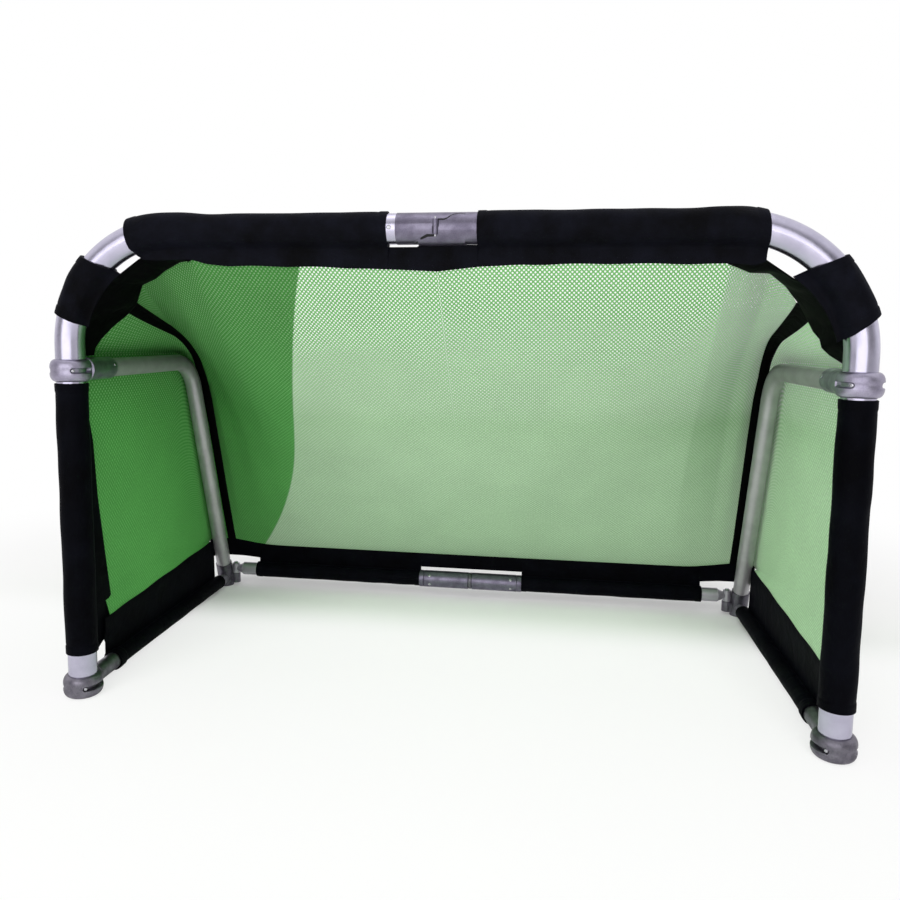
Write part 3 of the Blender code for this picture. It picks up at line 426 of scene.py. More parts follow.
finish = {
    "tube": drawnAluminium("polished_aluminium_tube", ("#b3afc4", "#c6c2d6"), 0.24),
    "sideTube": drawnAluminium("satin_aluminium_tube", ("#aaa7ac", "#bebcc0"), 0.42, 0.6),
    "rearTube": drawnAluminium("dull_aluminium_tube", ("#a5a1ab", "#bcb8c2"), 0.36, 0.75),
    "cast": castAluminium("cast_aluminium", ("#8d879c", "#aca7ba"), 0.36),
    "jointCast": castAluminium("dull_cast_aluminium", ("#676274", "#837e90"), 0.38),
    "darkCast": castAluminium("weathered_cast_aluminium", ("#5e5b65", "#85818c"), 0.40),
    "steel": zincSteel("zinc_plated_steel"),
    # painted light: a lighter, bluer copy of the black nylon for the crossbar sleeves and bend cuffs
    "litBarCloth": wovenNylon("black_nylon_painted_lit_cloth", ("#060608", "#0f1018"), 0.025),
    "cloth": wovenNylon("black_nylon_cloth", ("#020204", "#06070d"), 0.012),
    "tape": wovenNylon("black_nylon_binding", ("#020203", "#050506"), 0.0),
    "plastic": mouldedPlastic("black_polyethylene"),
    "net": knittedNet("green_knitted_netting"),
    "sideNet": knittedNet("green_knitted_side_netting", 1.44),  # painted light: the side netting's colour is drawn brighter by this gain
    # painted shade: near-black finish for the strips drawn in the bar joint's gaps
    "gap": mouldedPlastic("painted_joint_gap_shade", ("#040405", "#0a0a0c")),
}


def dress(obj, look, body, node=None):
    # its finish, the body that it follows and the CAD node that it stands for
    obj.data.materials.append(finish[look])
    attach(obj, body)
    if node:
        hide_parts(node)
    return obj


def addPiece(node, side, patches, look, body, sharp=40):
    return dress(buildPiece(node + "_look", side, patches, sharp), look, body, node)


tubes = {
    "frontWall": 0.002, "sideWall": 0.0015, "lip": 0.0003,
    "frontStart": 0.0603, "frontEnd": 0.0053,  # from the crossbar's middle, and left free in the foot
    "seat": 0.064, "postEnd": 0.0378, "groundEnd": 0.008,  # where collar and rear corner stop the side tubes
    "rearEnds": (0.5515, 0.0108),  # from the middle of the goal
}


def metalTube(node, side, line, radius, wall, normal, look, body):
    # a round section carried along the tube's axis, outer and inner wall
    grid = shell(carry(line, normal, ring(radius)), carry(line, normal, ring(radius - wall)), tubes["lip"])
    addPiece(node, side, [patch(grid, True)], look, body)


for label, side in sides.items():
    total = post - goal["bend"] + goal["bend"] * math.pi / 2 + goal["bar"] - goal["bend"]
    front = frontLine(np.linspace(tubes["frontStart"], total - tubes["frontEnd"], 220))
    upper = roundedLine((post, tubes["seat"], goal["sideZ"]), (post, goal["topDepth"], goal["sideZ"]),
                        alongPost(tubes["postEnd"]), goal["sideBend"])
    ground = [(post, y, goal["groundZ"]) for y in (tubes["seat"], goal["rearY"] - tubes["groundEnd"])]
    rear = [(x, goal["rearY"], goal["rearZ"]) for x in tubes["rearEnds"]]
    metalTube("front_tube_" + label, side, front, goal["frontTube"], tubes["frontWall"], (0, 1, 0),
              "tube", "front_" + label)
    metalTube("side_tube_" + label, side, evenly(upper, 180), goal["sideTube"], tubes["sideWall"],
              (1, 0, 0), "sideTube", "side_" + label)
    metalTube("ground_tube_" + label, side, evenly(ground, 40), goal["groundTube"], tubes["sideWall"],
              (1, 0, 0), "rearTube", "side_" + label)
    metalTube("rear_tube_" + label, side, evenly(rear, 40), goal["rearTube"], tubes["sideWall"],
              (0, 1, 0), "rearTube", "rear_" + label)
print("tubes done")

collar = {
    "radius": 0.032, "bore": 0.0233, "height": 0.036,  # ring round the upright
    "waist": 0.0006,  # shallow groove at mid height
    "slot": 0.00375,  # half height of the slots for the pin
    "pinTurn": math.radians(38),  # the pin points from the front towards the inner side
    # radius and place of the pin's end
    "pin": [(0.003, 0.029), (0.0027, 0.0298), (0.002, 0.0302), (0.0002, 0.0302)],
    "neckStart": 0.0265, "neckEnd": 0.112, "neckWall": 0.0025, "fillet": 0.0035,
    "rivet": 0.009,  # from the neck's end
}


def collarRing(centre, turns=256, levels=97):
    # a rounded ring: its radius follows a superellipse of the height, and drops to the tube inside
    # the two slots, each a quarter turn long with round ends
    angle = fullTurn(turns)[:, None]
    half = collar["height"] / 2
    z = half * np.sin(np.linspace(math.pi / 2, -math.pi / 2, levels))[None]
    swell = (1 - 0.985 * np.abs(z / half) ** 3.2) ** 0.55
    out = collar["bore"] + (collar["radius"] - collar["bore"]) * swell
    out = out - collar["waist"] * np.exp(-((z / 0.004) ** 2))
    cut = np.zeros((turns, levels))
    for first in (math.pi - collar["pinTurn"], -collar["pinTurn"]):  # front pin end, back pin end
        inside = (angle - first) % (2 * math.pi)
        past = np.maximum(inside - math.pi / 2, 0)
        past = np.minimum(past, 2 * math.pi - inside) * collar["radius"]
        cut = np.maximum(cut, 1 - smooth(np.hypot(past, z) - collar["slot"], -0.0006, 0.0005))
    out = out + (collar["bore"] - 0.0011 - out) * cut
    ringOut = points(out * np.cos(angle), out * np.sin(angle), z)
    core = collar["bore"] - 0.0002
    ringIn = points(core * np.cos(angle), core * np.sin(angle), [-half, half])
    return np.concatenate([ringOut, ringIn], axis=1) + np.array(centre)


def collarNeck(z, tube):
    # round neck behind the ring, wider where it grows out of it, with a rounded end
    line = evenly([(post, collar["neckStart"], z), (post, collar["neckEnd"] - 0.0006, z)], 48)
    y = line[:, 1:2]
    radius = tube + collar["neckWall"] + collar["fillet"] * np.exp(-(y - 0.031) / 0.005) * (y > 0.0305)
    radius = np.minimum(radius, tube + collar["neckWall"] + collar["fillet"])
    radius = radius - 0.0008 * smooth(y, 0.1095, 0.1114)
    section = ring(1.0)[None] * radius[:, None]
    return shell(carry(line, (1, 0, 0), section), carry(line, (1, 0, 0), ring(tube + 0.0003)), 0.0005)


def rivetHead(base, axis, radius=0.00325, rise=0.0011):
    # low domed head with a rim: an arc of an ellipse turned round the rivet's axis
    turn = np.linspace(0, 1.45, 9)
    profile = [(radius * 0.9, 0.0), (radius, 0.0003)]
    profile += [(radius * math.cos(t) + 0.0001, 0.0004 + rise * math.sin(t)) for t in turn]
    return [patch(spun(profile, base, axis, 28), caps=True)]


def softCopy(node, look, body, width):
    # the CAD node's own shape, welded, its flat faces joined again, edges rounded as a casting's are
    bm = bmesh.new()
    bm.from_mesh(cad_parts[node].data)
    bmesh.ops.remove_doubles(bm, verts=bm.verts[:], dist=0.00001)
    bmesh.ops.dissolve_limit(bm, angle_limit=math.radians(1), verts=bm.verts[:], edges=bm.edges[:])
    mesh = bpy.data.meshes.new(node + "_look")
    bm.to_mesh(mesh)
    bm.free()
    mesh.polygons.foreach_set("use_smooth", np.ones(len(mesh.polygons), bool))
    mesh.set_sharp_from_angle(angle=math.radians(35))
    obj = addObject(node + "_look", mesh)
    edge = obj.modifiers.new("rounded", "BEVEL")
    edge.width, edge.segments, edge.limit_method = width, 2, "ANGLE"
    edge.angle_limit = math.radians(35)
    dress(obj, look, body, node)


barJoint = {
    "face": 0.0235, "rivet": (0.0695, -0.0229),  # radius of its face, place and depth of its rivet
    # where its two halves interlock, drawn as lines of painted shade: distance from the middle, degrees above
    # the front, width of the gap
    "gapShades": [
        [(-0.0006, 25.5, 0.0020), (0.0020, 27.4, 0.0030), (0.0125, 27.6, 0.0030), (0.0170, 33.0, 0.0020),
         (0.0215, 45.0, 0.0016), (0.0280, 56.0, 0.0014), (0.0360, 59.0, 0.0012), (0.0430, 52.0, 0.0010)],
        [(0.0006, -30.5, 0.0024), (-0.0040, -31.5, 0.0038), (-0.0125, -31.5, 0.0046),
         (-0.0190, -40.0, 0.0044), (-0.0250, -55.0, 0.0036), (-0.0303, -70.0, 0.0026),
         (-0.0345, -78.0, 0.0016)],
    ],
}


def gapShadeLine(table):
    # painted shade of the gap between the joint's two halves, laid as a thin dark strip on its round face:
    # a line by distance and angle, as wide as its third number, with a flat oval for its section
    far, angle, wide = (np.interp(np.linspace(0, 1, 60), np.linspace(0, 1, len(table)), k)
                        for k in np.array(table).T)
    centre = np.stack([far, np.radians(angle) * barJoint["face"]], axis=-1)
    heading = unit(np.gradient(centre, axis=0))
    turn = fullTurn(12)
    over = wide[:, None] / 2 * np.sin(turn)
    place = centre[:, None] + over[..., None] * np.stack([-heading[:, 1], heading[:, 0]], axis=-1)[:, None]
    radius = barJoint["face"] - 0.0001 + 0.0003 * np.cos(turn)
    angle = place[..., 1] / barJoint["face"]
    grid = points(place[..., 0], -radius * np.cos(angle), goal["bar"] + radius * np.sin(angle))
    return patch(grid, caps=True)


rearBar = {
    # radius and height of the knuckle's eye, then distance from the pivot and radius of its neck
    "eye": [(0.0003, -0.0124), (0.0084, -0.0124), (0.009, -0.0118), (0.009, 0.0118), (0.0084, 0.0124),
            (0.0003, 0.0124)],
    "neck": [(0.0, 0.0003), (0.004, 0.0072), (0.0100, 0.0086), (0.0135, 0.0104), (0.0185, 0.0126),
             (0.0216, 0.0149), (0.0226, 0.0145), (0.0228, 0.0003)],
    # radius and place along the bar of the ring at the sleeve's end
    "ring": [(0.0156, 0.0), (0.0182, 0.0), (0.0190, 0.0008), (0.0190, 0.0105), (0.0182, 0.0113),
             (0.0156, 0.0113)],
    "ringAt": 0.1075,
    # place along the bar and radius of the split ring in the middle, and how far it reaches round
    "spacer": [(-0.0040, 0.0125), (-0.0040, 0.0176), (-0.0032, 0.0183), (0.0030, 0.0183),
               (0.0038, 0.0176), (0.0038, 0.0125)],
    "spacerTurn": 2.1,
    "rivets": (0.094, 0.0192, (("low", -0.45), ("high", 0.62))),  # place, radius, angles up from the front
}

for label, side in sides.items():
    front, body, rear = (name + label for name in ("front_", "side_", "rear_"))
    for place, z, tube, look in (("upper", goal["sideZ"], goal["sideTube"], "cast"),
                                 ("foot", goal["groundZ"], goal["groundTube"], "darkCast")):
        shapes = [patch(collarRing((post, 0, z)), True), patch(collarNeck(z, tube), True)]
        addPiece("%s_collar_%s" % (place, label), side, shapes, look, body)
        profile = [(r, -h) for r, h in collar["pin"][::-1]] + collar["pin"]
        along = (math.sin(collar["pinTurn"]), math.cos(collar["pinTurn"]), 0)
        pin = patch(spun(profile, (post, 0, z), along, 28), caps=True)
        addPiece("%s_pin_%s" % (place, label), side, [pin], "steel", front)
        out = unit(np.array([-1, 0, 0.35]))
        base = np.array([post, collar["neckEnd"] - collar["rivet"], z])
        base = base + out * (tube + collar["neckWall"] - 0.0001)
        addPiece("%s_rivet_%s" % (place, label), side, rivetHead(base, out), "steel", body)
    softCopy("foot_plug_" + label, "plastic", front, 0.0004)
    softCopy("bar_joint_" + label, "jointCast", front, 0.0010)
    softCopy("rear_corner_" + label, "darkCast", body, 0.0008)
    softCopy("corner_pin_" + label, "steel", body, 0.0004)
    pivot = (goal["pivotX"], goal["rearY"], goal["rearZ"])
    neck = [(radius, far) for far, radius in rearBar["neck"]]
    shapes = [patch(spun(rearBar["eye"], pivot, (0, 0, 1)), caps=True),
              patch(spun(neck, pivot, (-1, 0, 0)), caps=True)]
    addPiece("rear_knuckle_" + label, side, shapes, "rearTube", rear)
    shape = spun(rearBar["ring"], (rearBar["ringAt"], goal["rearY"], goal["rearZ"]), (1, 0, 0), 48)
    dress(buildPiece("rear_ring_%s_look" % label, side, [patch(shape, True)]),
          "jointCast", rear)
    softCopy("rear_joint_" + label, "jointCast", rear, 0.0005)
    far, radius, places = rearBar["rivets"]
    for place, angle in places:
        out = np.array([0, -math.cos(angle), math.sin(angle)])
        base = np.array([far, goal["rearY"], goal["rearZ"]]) + out * radius
        addPiece("rear_rivet_%s_%s" % (place, label), side, rivetHead(base, out), "steel", rear)
far, depth = barJoint["rivet"]
addPiece("bar_rivet_left", -1, rivetHead((far, depth, goal["bar"]), (0, -1, 0)),
         "steel", "front_left")
# painted shade in the gaps where the bar joint's two halves interlock
for number, table in enumerate(barJoint["gapShades"]):
    dress(buildPiece("bar_joint_gap_%d_look" % number, 1, [gapShadeLine(table)]),
          "gap", "front_left")
softCopy("bar_hinge_pin", "steel", "front_left", 0.0003)
softCopy("rear_hinge_pin", "steel", "rear_left", 0.0003)
turn = np.linspace(-rearBar["spacerTurn"], rearBar["spacerTurn"], 60)[:, None]
x, radius = np.array(rearBar["spacer"]).T
spacer = points(x, goal["rearY"] - radius * np.cos(turn), goal["rearZ"] + radius * np.sin(turn))
dress(buildPiece("rear_spacer_look", -1, [patch(spacer, caps=True)]),
      "darkCast", "rear_left")
print("castings done")

cloth = {
    "skin": 0.0249, "bore": 0.0232,  # outside and inside of a cover on the front tube
    "flap": 0.0025,  # two layers
    "hem": 0.013, "hemRise": 0.0006,
}


def coverSection(radius, offset, reach, thick, leave, joins):
    # closed section of cloth round a tube with a flap of two layers: an arc from one angle where the
    # cloth leaves the tube to the other, then down one face of the flap, round its edge and back
    radius = np.atleast_2d(radius)
    reach = np.reshape(reach, (-1, 1))
    turn = np.linspace(leave[0], leave[1], 73)[None]
    arc = np.stack([radius * np.sin(turn), -radius * np.cos(turn)], axis=-1)
    rows = max(len(arc), len(reach))
    arc = np.broadcast_to(arc, (rows, *arc.shape[1:]))
    faces = []
    for end, sign, join in ((-1, -1, joins[1]), (0, 1, joins[0])):
        t = np.linspace(0, 1, 19)[None, 1:]
        near, far = np.clip(t / 0.35, 0, 1), np.clip((t - 0.35) / 0.65, 0, 1)
        start = arc[:, end]
        level = np.minimum(join, reach)
        wide = offset + sign * thick / 2 * (1 - smooth(t, 0.93, 1.0) * 0.7)
        a = wide + (start[:, :1] - wide) * (1 - smooth(near))
        b = start[:, 1:] + (level - start[:, 1:]) * near + (reach - level) * far
        face = np.stack([np.broadcast_to(a, b.shape), b], axis=-1)
        faces.append(face if end else face[:, ::-1])
    return np.concatenate([arc, *faces], axis=1)


def boreSection(radius, leave):
    # circle with the same number of points as coverSection, so that the two pair up; its radius may
    # change along the rows
    turn = np.concatenate([np.linspace(leave[0], leave[1], 73),
                           np.linspace(leave[1], leave[0] - 2 * math.pi, 38)[1:-1]])
    return np.stack([radius * np.sin(turn), -radius * np.cos(turn)], axis=-1)


def folds(s, turn, seed, waves=6, fastest=95.0):
    # a few soft waves of seeded direction, length and phase, from 0 to 1
    pick = np.random.default_rng(seed)
    total = np.zeros(np.broadcast(s, turn).shape)
    for k in range(waves):
        along, about = pick.uniform(0.25, 1.0) * fastest * pick.choice([-1, 1]), pick.integers(0, 4)
        total = total + np.sin(along * s + about * turn + pick.uniform(0, 6.28)) / (1 + 0.3 * k)
    return smooth(total, -2.2, 2.2)


def hems(s, width, rise):
    # raised folded edge at both ends, with a small valley where the stitches pull
    ends = np.minimum(s - s.min(), s.max() - s)
    fold = 1 - smooth(ends, width * 0.9, width * 1.15)
    return rise * fold - rise * np.exp(-(((ends - width * 1.1) / 0.0015) ** 2))


def leanAtEnd(s, amount, over=0.07):
    # upright at first, slanting by the amount at the far end
    return amount * smooth(s, s.max() - over, s.max())


def cover(line, normal, s, radius, offset, reach, leave, joins, bore, seed, swell, thick=None, lean=0.0):
    # a cover's radius plus its hems and its folds, round a smooth bore
    turn = np.linspace(leave[0], leave[1], 73)[None]
    rise = hems(s, cloth["hem"], cloth["hemRise"])[:, None]
    outside = radius + rise + swell * folds(s[:, None], turn, seed)
    outer = coverSection(outside, offset, reach, thick or cloth["flap"], leave, joins)
    inner = boreSection(bore, leave)
    return patch(shell(carry(line, normal, outer, lean), carry(line, normal, inner, lean)), True)


def slab(line, normal, low, high, thick, bulge=0.0):
    # flat strip of doubled cloth carried along a line, a superellipse between its low and high edge
    turn = fullTurn(32)
    a, b = np.sin(turn), -np.cos(turn)
    a = np.sign(a) * np.abs(a) ** 0.35 * thick / 2
    low, high = np.reshape(low, (-1, 1)), np.reshape(high, (-1, 1))
    b = (low + high) / 2 + (high - low) / 2 * np.sign(b) * np.abs(b) ** 0.8
    section = np.stack([np.broadcast_to(a + bulge, b.shape), b], axis=-1)
    return patch(carry(line, normal, section), caps=True)


barCover = {
    # where it starts, degrees round the bend where it ends, slant and slack there, then distance from
    # the middle and height of the flap's lower edge and of its upper edge under the joint
    "left": {
        "start": 0.0745, "turn": 20.6, "lean": 0.16, "loose": 0.0050, "seed": 3,
        "edge": [(0.0, 0.7072), (0.06, 0.7099), (0.13, 0.7125), (0.212, 0.7149), (0.325, 0.7162),
                 (0.365, 0.7195), (0.39, 0.7256), (0.45, 0.7262), (0.474, 0.7275), (0.49, 0.7375)],
        "under": [(0.027, 0.7463), (0.030, 0.7435)],
    },
    "right": {
        "start": 0.0610, "turn": 14.4, "lean": 0.30, "loose": 0.0004, "seed": 8,
        "edge": [(0.0, 0.7072), (0.035, 0.711), (0.064, 0.7142), (0.129, 0.7169), (0.258, 0.7180),
                 (0.418, 0.7171), (0.445, 0.7172), (0.4633, 0.7239), (0.480, 0.7390)],
        "under": [(0.0, 0.7463), (0.062, 0.7463)],
    },
}
centred = ((2.18, -2.18), (0.031, 0.031))  # where the two faces leave the tube, and where they meet

for label, side in sides.items():
    spec = barCover[label]
    end = post - goal["bend"] + goal["bend"] * math.radians(spec["turn"])
    s = np.linspace(spec["start"], end, 150)
    line = frontLine(s)
    edge = np.interp(line[:, 0], *np.array(spec["edge"]).T)
    edge = edge + 0.0007 * np.sin(s * 61 + spec["seed"]) * smooth(s, 0.08, 0.14)
    lean = np.clip((s - post + goal["bend"]) / goal["bend"], 0, None)
    reach = np.maximum((line[:, 2] - edge) / np.cos(lean), 0.0262)
    swell = 0.0009 + 0.0016 * smooth(s, 0.32, 0.45)[:, None]
    around = np.cos(np.linspace(*centred[0], 73) / 2) ** 2
    full = cloth["skin"] + spec["loose"] * smooth(s, s.max() - 0.14, s.max() - 0.01)[:, None] * around
    sleeve = cover(line, (0, 1, 0), s, full, 0.0, reach, *centred, cloth["bore"], spec["seed"], swell,
                   lean=leanAtEnd(s, spec["lean"]))
    x = np.linspace(0.0, spec["start"] + 0.02, 60)
    low, high = (np.interp(x, *np.array(spec[k]).T) for k in ("edge", "under"))
    strip = slab(points(x, 0, 0), (0, 1, 0), -high, -low, cloth["flap"] * 0.96)
    piece = addPiece("bar_sleeve_" + label, side, [sleeve, strip], "litBarCloth",
                     "front_" + label)

cuffs = {
    # degrees round the bend, depth of the inner flap, and how the ends slant
    "left": {"turn": (43.4, 76.0), "reach": (0.0364, 0.0310), "lean": (-0.40, 0.20)},
    "right": {"turn": (44.6, 77.0), "reach": (0.0440, 0.0330), "lean": (-0.40, 0.45)},
}
for label, side in sides.items():
    spec = cuffs[label]
    s = post - goal["bend"] + goal["bend"] * np.radians(np.linspace(*spec["turn"], 60))
    reach, lean = np.linspace(*spec["reach"], 60), np.linspace(*spec["lean"], 60)
    cuff = cover(frontLine(s), (0, 1, 0), s, cloth["skin"] + 0.0012, 0.0, reach, *centred, cloth["bore"],
                 21 + side, 0.0018, lean=lean)
    piece = addPiece("bend_cuff_" + label, side, [cuff], "litBarCloth", "front_" + label)

uprightCover = {
    "top": 0.5285, "low": 0.0755, "offset": 0.0200,
    # depth and height of the lower edge of the cloth under the flap
    "foot": [(0.0262, 0.0470), (0.081, 0.0468), (0.099, 0.0557), (0.118, 0.076), (0.1275, 0.090)],
    # height and depth of the flap's free edge
    "edge": [(0.075, 0.0275), (0.096, 0.0275), (0.1003, 0.128), (0.107, 0.131), (0.22, 0.112), (0.32, 0.096),
             (0.42, 0.088), (0.53, 0.062)],
}
sideLeave = ((1.72, 1.72 - 2 * math.pi + 0.62), (0.0288, 0.021))  # outer face first
for label, side in sides.items():
    z = np.concatenate([np.linspace(uprightCover["top"], 0.104, 110), [0.102, 0.1006, 0.0996, 0.0985, 0.096],
                        np.linspace(0.094, uprightCover["low"], 10)])
    line = points(post, 0, z)
    reach = np.interp(z, *np.array(uprightCover["edge"]).T)
    sleeve = cover(line, (1, 0, 0), -z, cloth["skin"] - 0.0001, uprightCover["offset"], reach, *sideLeave,
                   cloth["bore"], 31 + side, 0.0011, thick=0.0020)
    y, low = np.array(uprightCover["foot"]).T
    y, low = np.linspace(y[0], y[-1], 60), np.interp(np.linspace(y[0], y[-1], 60), y, low)
    line = points(post + uprightCover["offset"], y, 0)
    tail = slab(line, (1, 0, 0), low, 0 * y + 0.1065, 0.0018)
    piece = addPiece("upright_sleeve_" + label, side, [sleeve, tail], "cloth",
                     "side_" + label)

bandLeave = (1.70, 1.70 - 2 * math.pi + 0.62)  # angles where a band's two faces leave its tube
sideBand = {
    "from": 0.0935, "to": 0.5655, "skin": 0.0146, "bore": 0.0127, "offset": 0.0133,
    "joins": (0.017, 0.0135), "thick": 0.0022,
    "neck": 0.1138,  # in front of it the cover goes over the collar's neck
    "top": (0.0985, 0.1215),  # height of the upper edge at the front and at the back
    # depth, lower and upper edge of the cloth in front of the cover, and of the tail past the post
    "nose": [(0.0884, 0.0595, 0.0612), (0.0925, 0.052, 0.072), (0.0959, 0.047, 0.083),
             (0.1007, 0.036, 0.0970), (0.118, 0.036, 0.0983)],
    "tail": [(0.545, 0.068, 0.120), (0.570, 0.074, 0.1215), (0.590, 0.076, 0.1205), (0.612, 0.077, 0.117)],
}


def bandTop(y):
    # height of the band's upper edge by depth
    return np.interp(y, (sideBand["neck"], sideBand["to"]), sideBand["top"])


for label, side in sides.items():
    y = np.linspace(sideBand["from"], sideBand["to"], 150)
    line = points(post, y, goal["groundZ"])
    reach = bandTop(y) - goal["groundZ"] + 0.0008 * np.sin(y * 47) - 0.0006
    loose = 0.0026 * (1 - smooth(y, sideBand["neck"] - 0.001, sideBand["neck"] + 0.006))[:, None]
    band = cover(line, (1, 0, 0), y, sideBand["skin"] + loose, sideBand["offset"], reach, bandLeave,
                 sideBand["joins"], sideBand["bore"] + loose, 41 + side, 0.0006, thick=sideBand["thick"])
    ends = []
    for edge in ("nose", "tail"):
        depth, low, high = np.array(sideBand[edge]).T
        y = np.linspace(depth[0], depth[-1], 40)
        line = points(post + sideBand["offset"] + 0.0062 * smooth(y, 0.545, 0.572), y, 0)
        ends.append(slab(line, (1, 0, 0), np.interp(y, depth, low), np.interp(y, depth, high), 0.0018))
    piece = addPiece("side_band_" + label, side, [band, *ends], "cloth", "side_" + label)

rearBand = {
    "from": 0.119, "to": 0.517, "skin": 0.0171, "bore": 0.0152, "offset": 0.0154,
    "joins": (0.0195, 0.016), "thick": 0.0024,
    "top": 0.100, "strip": 0.066, "stripEnd": 0.612,  # upper and lower edge of its strip, and its end
}


def stripTop(x):
    # height of the rear strip's upper edge by distance from the middle
    return rearBand["top"] + 0.016 * smooth(x, 0.44, 0.60)


for label, side in sides.items():
    x = np.linspace(rearBand["to"], rearBand["from"], 120)
    line = points(x, goal["rearY"], goal["rearZ"])
    reach = rearBand["top"] - goal["rearZ"] + 0.0007 * np.sin(x * 41)
    band = cover(line, (0, 1, 0), -x, rearBand["skin"], rearBand["offset"], reach, bandLeave,
                 rearBand["joins"], rearBand["bore"], 51 + side, 0.0007, thick=rearBand["thick"])
    x = np.linspace(rearBand["stripEnd"], 0.0, 160)
    line = points(x, goal["rearY"] + rearBand["offset"], 0)
    low, high = rearBand["strip"] + 0.004 * smooth(x, 0.50, 0.57), stripTop(x) + 0.0004
    strip = slab(line, (0, 1, 0), low, high, 0.0020)
    piece = addPiece("rear_band_" + label, side, [band, strip], "cloth", "rear_" + label)
print("covers done")

netShape = {
    "seamFront": {"left": (0.112, 0.6625), "right": (0.112, 0.667)}, "slope": 0.23, "seamTurn": 0.235,
    "behind": (0.0248, 0.0448),  # behind the slanted post at its upper end and at the rear strip
    "hipFront": (0.050, 0.574), "hipTurn": 0.055, "hipSlope": 0.01,  # where the side net turns inwards
    "foot": 0.112, "footDepth": 0.112,  # height of the seam's end, depth of the side net's front corner
    "outside": 0.0222, "below": 0.75,  # side net outside the post's axis, share of its rows under the hip
    "inset": (0.052, 0.0180, 0.0140),  # inboard of the post: front end, lower down, foot
    "tape": (0.0072, 0.0020), "lap": 0.0012,  # half width and half thickness of the binding, its hold
    "flank": {"left": (0.0170, 0.0072), "right": (0.0230, 0.0080)},  # its width on the side net
}


def fabricEdge(front, slope, radius):
    # backwards from the front end, then down behind the slanted post, in the plane x = 0
    foot, top = (alongPost(z) + [0, gap, 0] for z, gap in
                 zip((netShape["foot"], goal["sideZ"]), netShape["behind"][::-1]))
    run = unit(foot - top)
    rise = (front[1] - slope * (top[1] - front[0]) - top[2]) / (run[2] + slope * run[1])
    line = roundedLine((post, *front), top + run * rise, foot, radius)
    return line * [0, 1, 1]


seamEdges = {label: evenly(fabricEdge(front, netShape["slope"], netShape["seamTurn"]), 240)
             for label, front in netShape["seamFront"].items()}
hipEdge = evenly(fabricEdge(netShape["hipFront"], netShape["hipSlope"], netShape["hipTurn"]), 240)


def lineAt(line, share):
    # points at shares of an evenly spaced line
    at = np.linspace(0, 1, len(line))
    return points(*(np.interp(share, at, line[:, k]) for k in range(3)))


def seamAt(share, label):
    # points of the seam, inboard of the post by an amount that shrinks towards the foot
    inset = netShape["inset"]
    inboard = inset[0] + (inset[1] - inset[0]) * np.minimum(1, share / 0.45) ** 0.8
    inboard = inboard + (inset[2] - inset[1]) * smooth(share, 0.55, 1.0)
    point = lineAt(seamEdges[label], share)
    point[..., 0] = post - inboard
    return point


topEdges = {
    # the net's upper edge from the middle out to the seam, with the gusset's edge in the corner
    "left": [(0.0, 0, 0.7105), (0.06, 0, 0.7132), (0.13, 0, 0.7158), (0.212, 0, 0.7182),
             (0.325, 0, 0.7195), (0.365, 0, 0.7228), (0.39, 0.002, 0.7280), (0.417, 0.020, 0.7270),
             (0.4527, 0.042, 0.7165), (0.487, 0.072, 0.7050), (0.520, 0.090, 0.6950),
             (0.5415, 0.115, 0.6615)],
    "right": [(0.0, 0, 0.7105), (0.035, 0, 0.7143), (0.064, 0, 0.7175), (0.129, 0, 0.7202),
              (0.258, 0, 0.7213), (0.418, 0.001, 0.7202), (0.4547, 0.040, 0.7120),
              (0.4925, 0.080, 0.7140), (0.5189, 0.092, 0.6960), (0.5415, 0.115, 0.6660)],
}


def backNet(label):
    # straight fall from the crossbar's flap to the rear strip, drawn out to the seam at the side:
    # the pull dies away inwards as a power of the share, faster near the top
    u, v = np.meshgrid(np.linspace(0, 1, 121), np.linspace(0, 1, 131))
    top = evenly(np.array(topEdges[label])[::-1], 121)[None]
    x = top[..., 0]
    edge = seamAt(np.linspace(0, 1, 131), label)[:, None] - [netShape["tape"][0] - netShape["lap"], 0, 0]
    low = points(x * edge[-1, 0, 0] / x[0, 0], goal["rearY"] + rearBand["offset"], stripTop(x) - 0.0015)
    fall = v[..., None]
    plain = top * (1 - fall) + low * fall
    plain[..., 2] = (top * (1 - fall ** 0.95) + low * fall ** 0.95)[..., 2]
    hold = ((1 - u) ** (1.7 + 5 * (1 - v) ** 2))[..., None]
    grid = plain + hold * (edge - plain[:, :1])
    soft = np.sin(u * math.pi) * np.sin(v * math.pi)
    grid[..., 1] += soft * (0.004 * np.sin(9 * u + 4 * v) + 0.003 * np.sin(5 * u - 11 * v + 1))
    grid[:, -1, 0] = 0.0
    return grid


def seamAndHip(u, label):
    # points of the seam and of the hip over the side frame that face each other
    shares = [np.interp(u, (0, 0.5, 1), (0, shareOfTurn(line), 1)) for line in (seamEdges[label], hipEdge)]
    return seamAt(shares[0], label), lineAt(hipEdge, shares[1])


def sideNet(label):
    # up from the ground band outside the side frame, over its upper run and down to the seam
    u, v = np.meshgrid(np.linspace(0, 1, 81), np.linspace(0, 1, 97), indexing="ij")
    edge, hip = seamAndHip(u, label)
    edge[..., 0] += netShape["tape"][0] - netShape["lap"]
    out, footX = post + netShape["outside"], post + sideBand["offset"] + 0.0002
    footY = netShape["footDepth"] + (sideBand["to"] - 0.010 - netShape["footDepth"]) * u
    footZ = bandTop(footY) - 0.003
    k = np.clip(v / netShape["below"], 0, 1)
    m = np.clip((v - netShape["below"]) / (1 - netShape["below"]), 0, 1)
    x = footX + (out - footX) * np.minimum(1, k * 10) + (edge[..., 0] - out) * m
    y = footY + (hip[..., 1] - footY) * k + (edge[..., 1] - hip[..., 1]) * m
    z = footZ + (hip[..., 2] - footZ) * k + (edge[..., 2] - hip[..., 2]) * m
    return points(x, y, z)


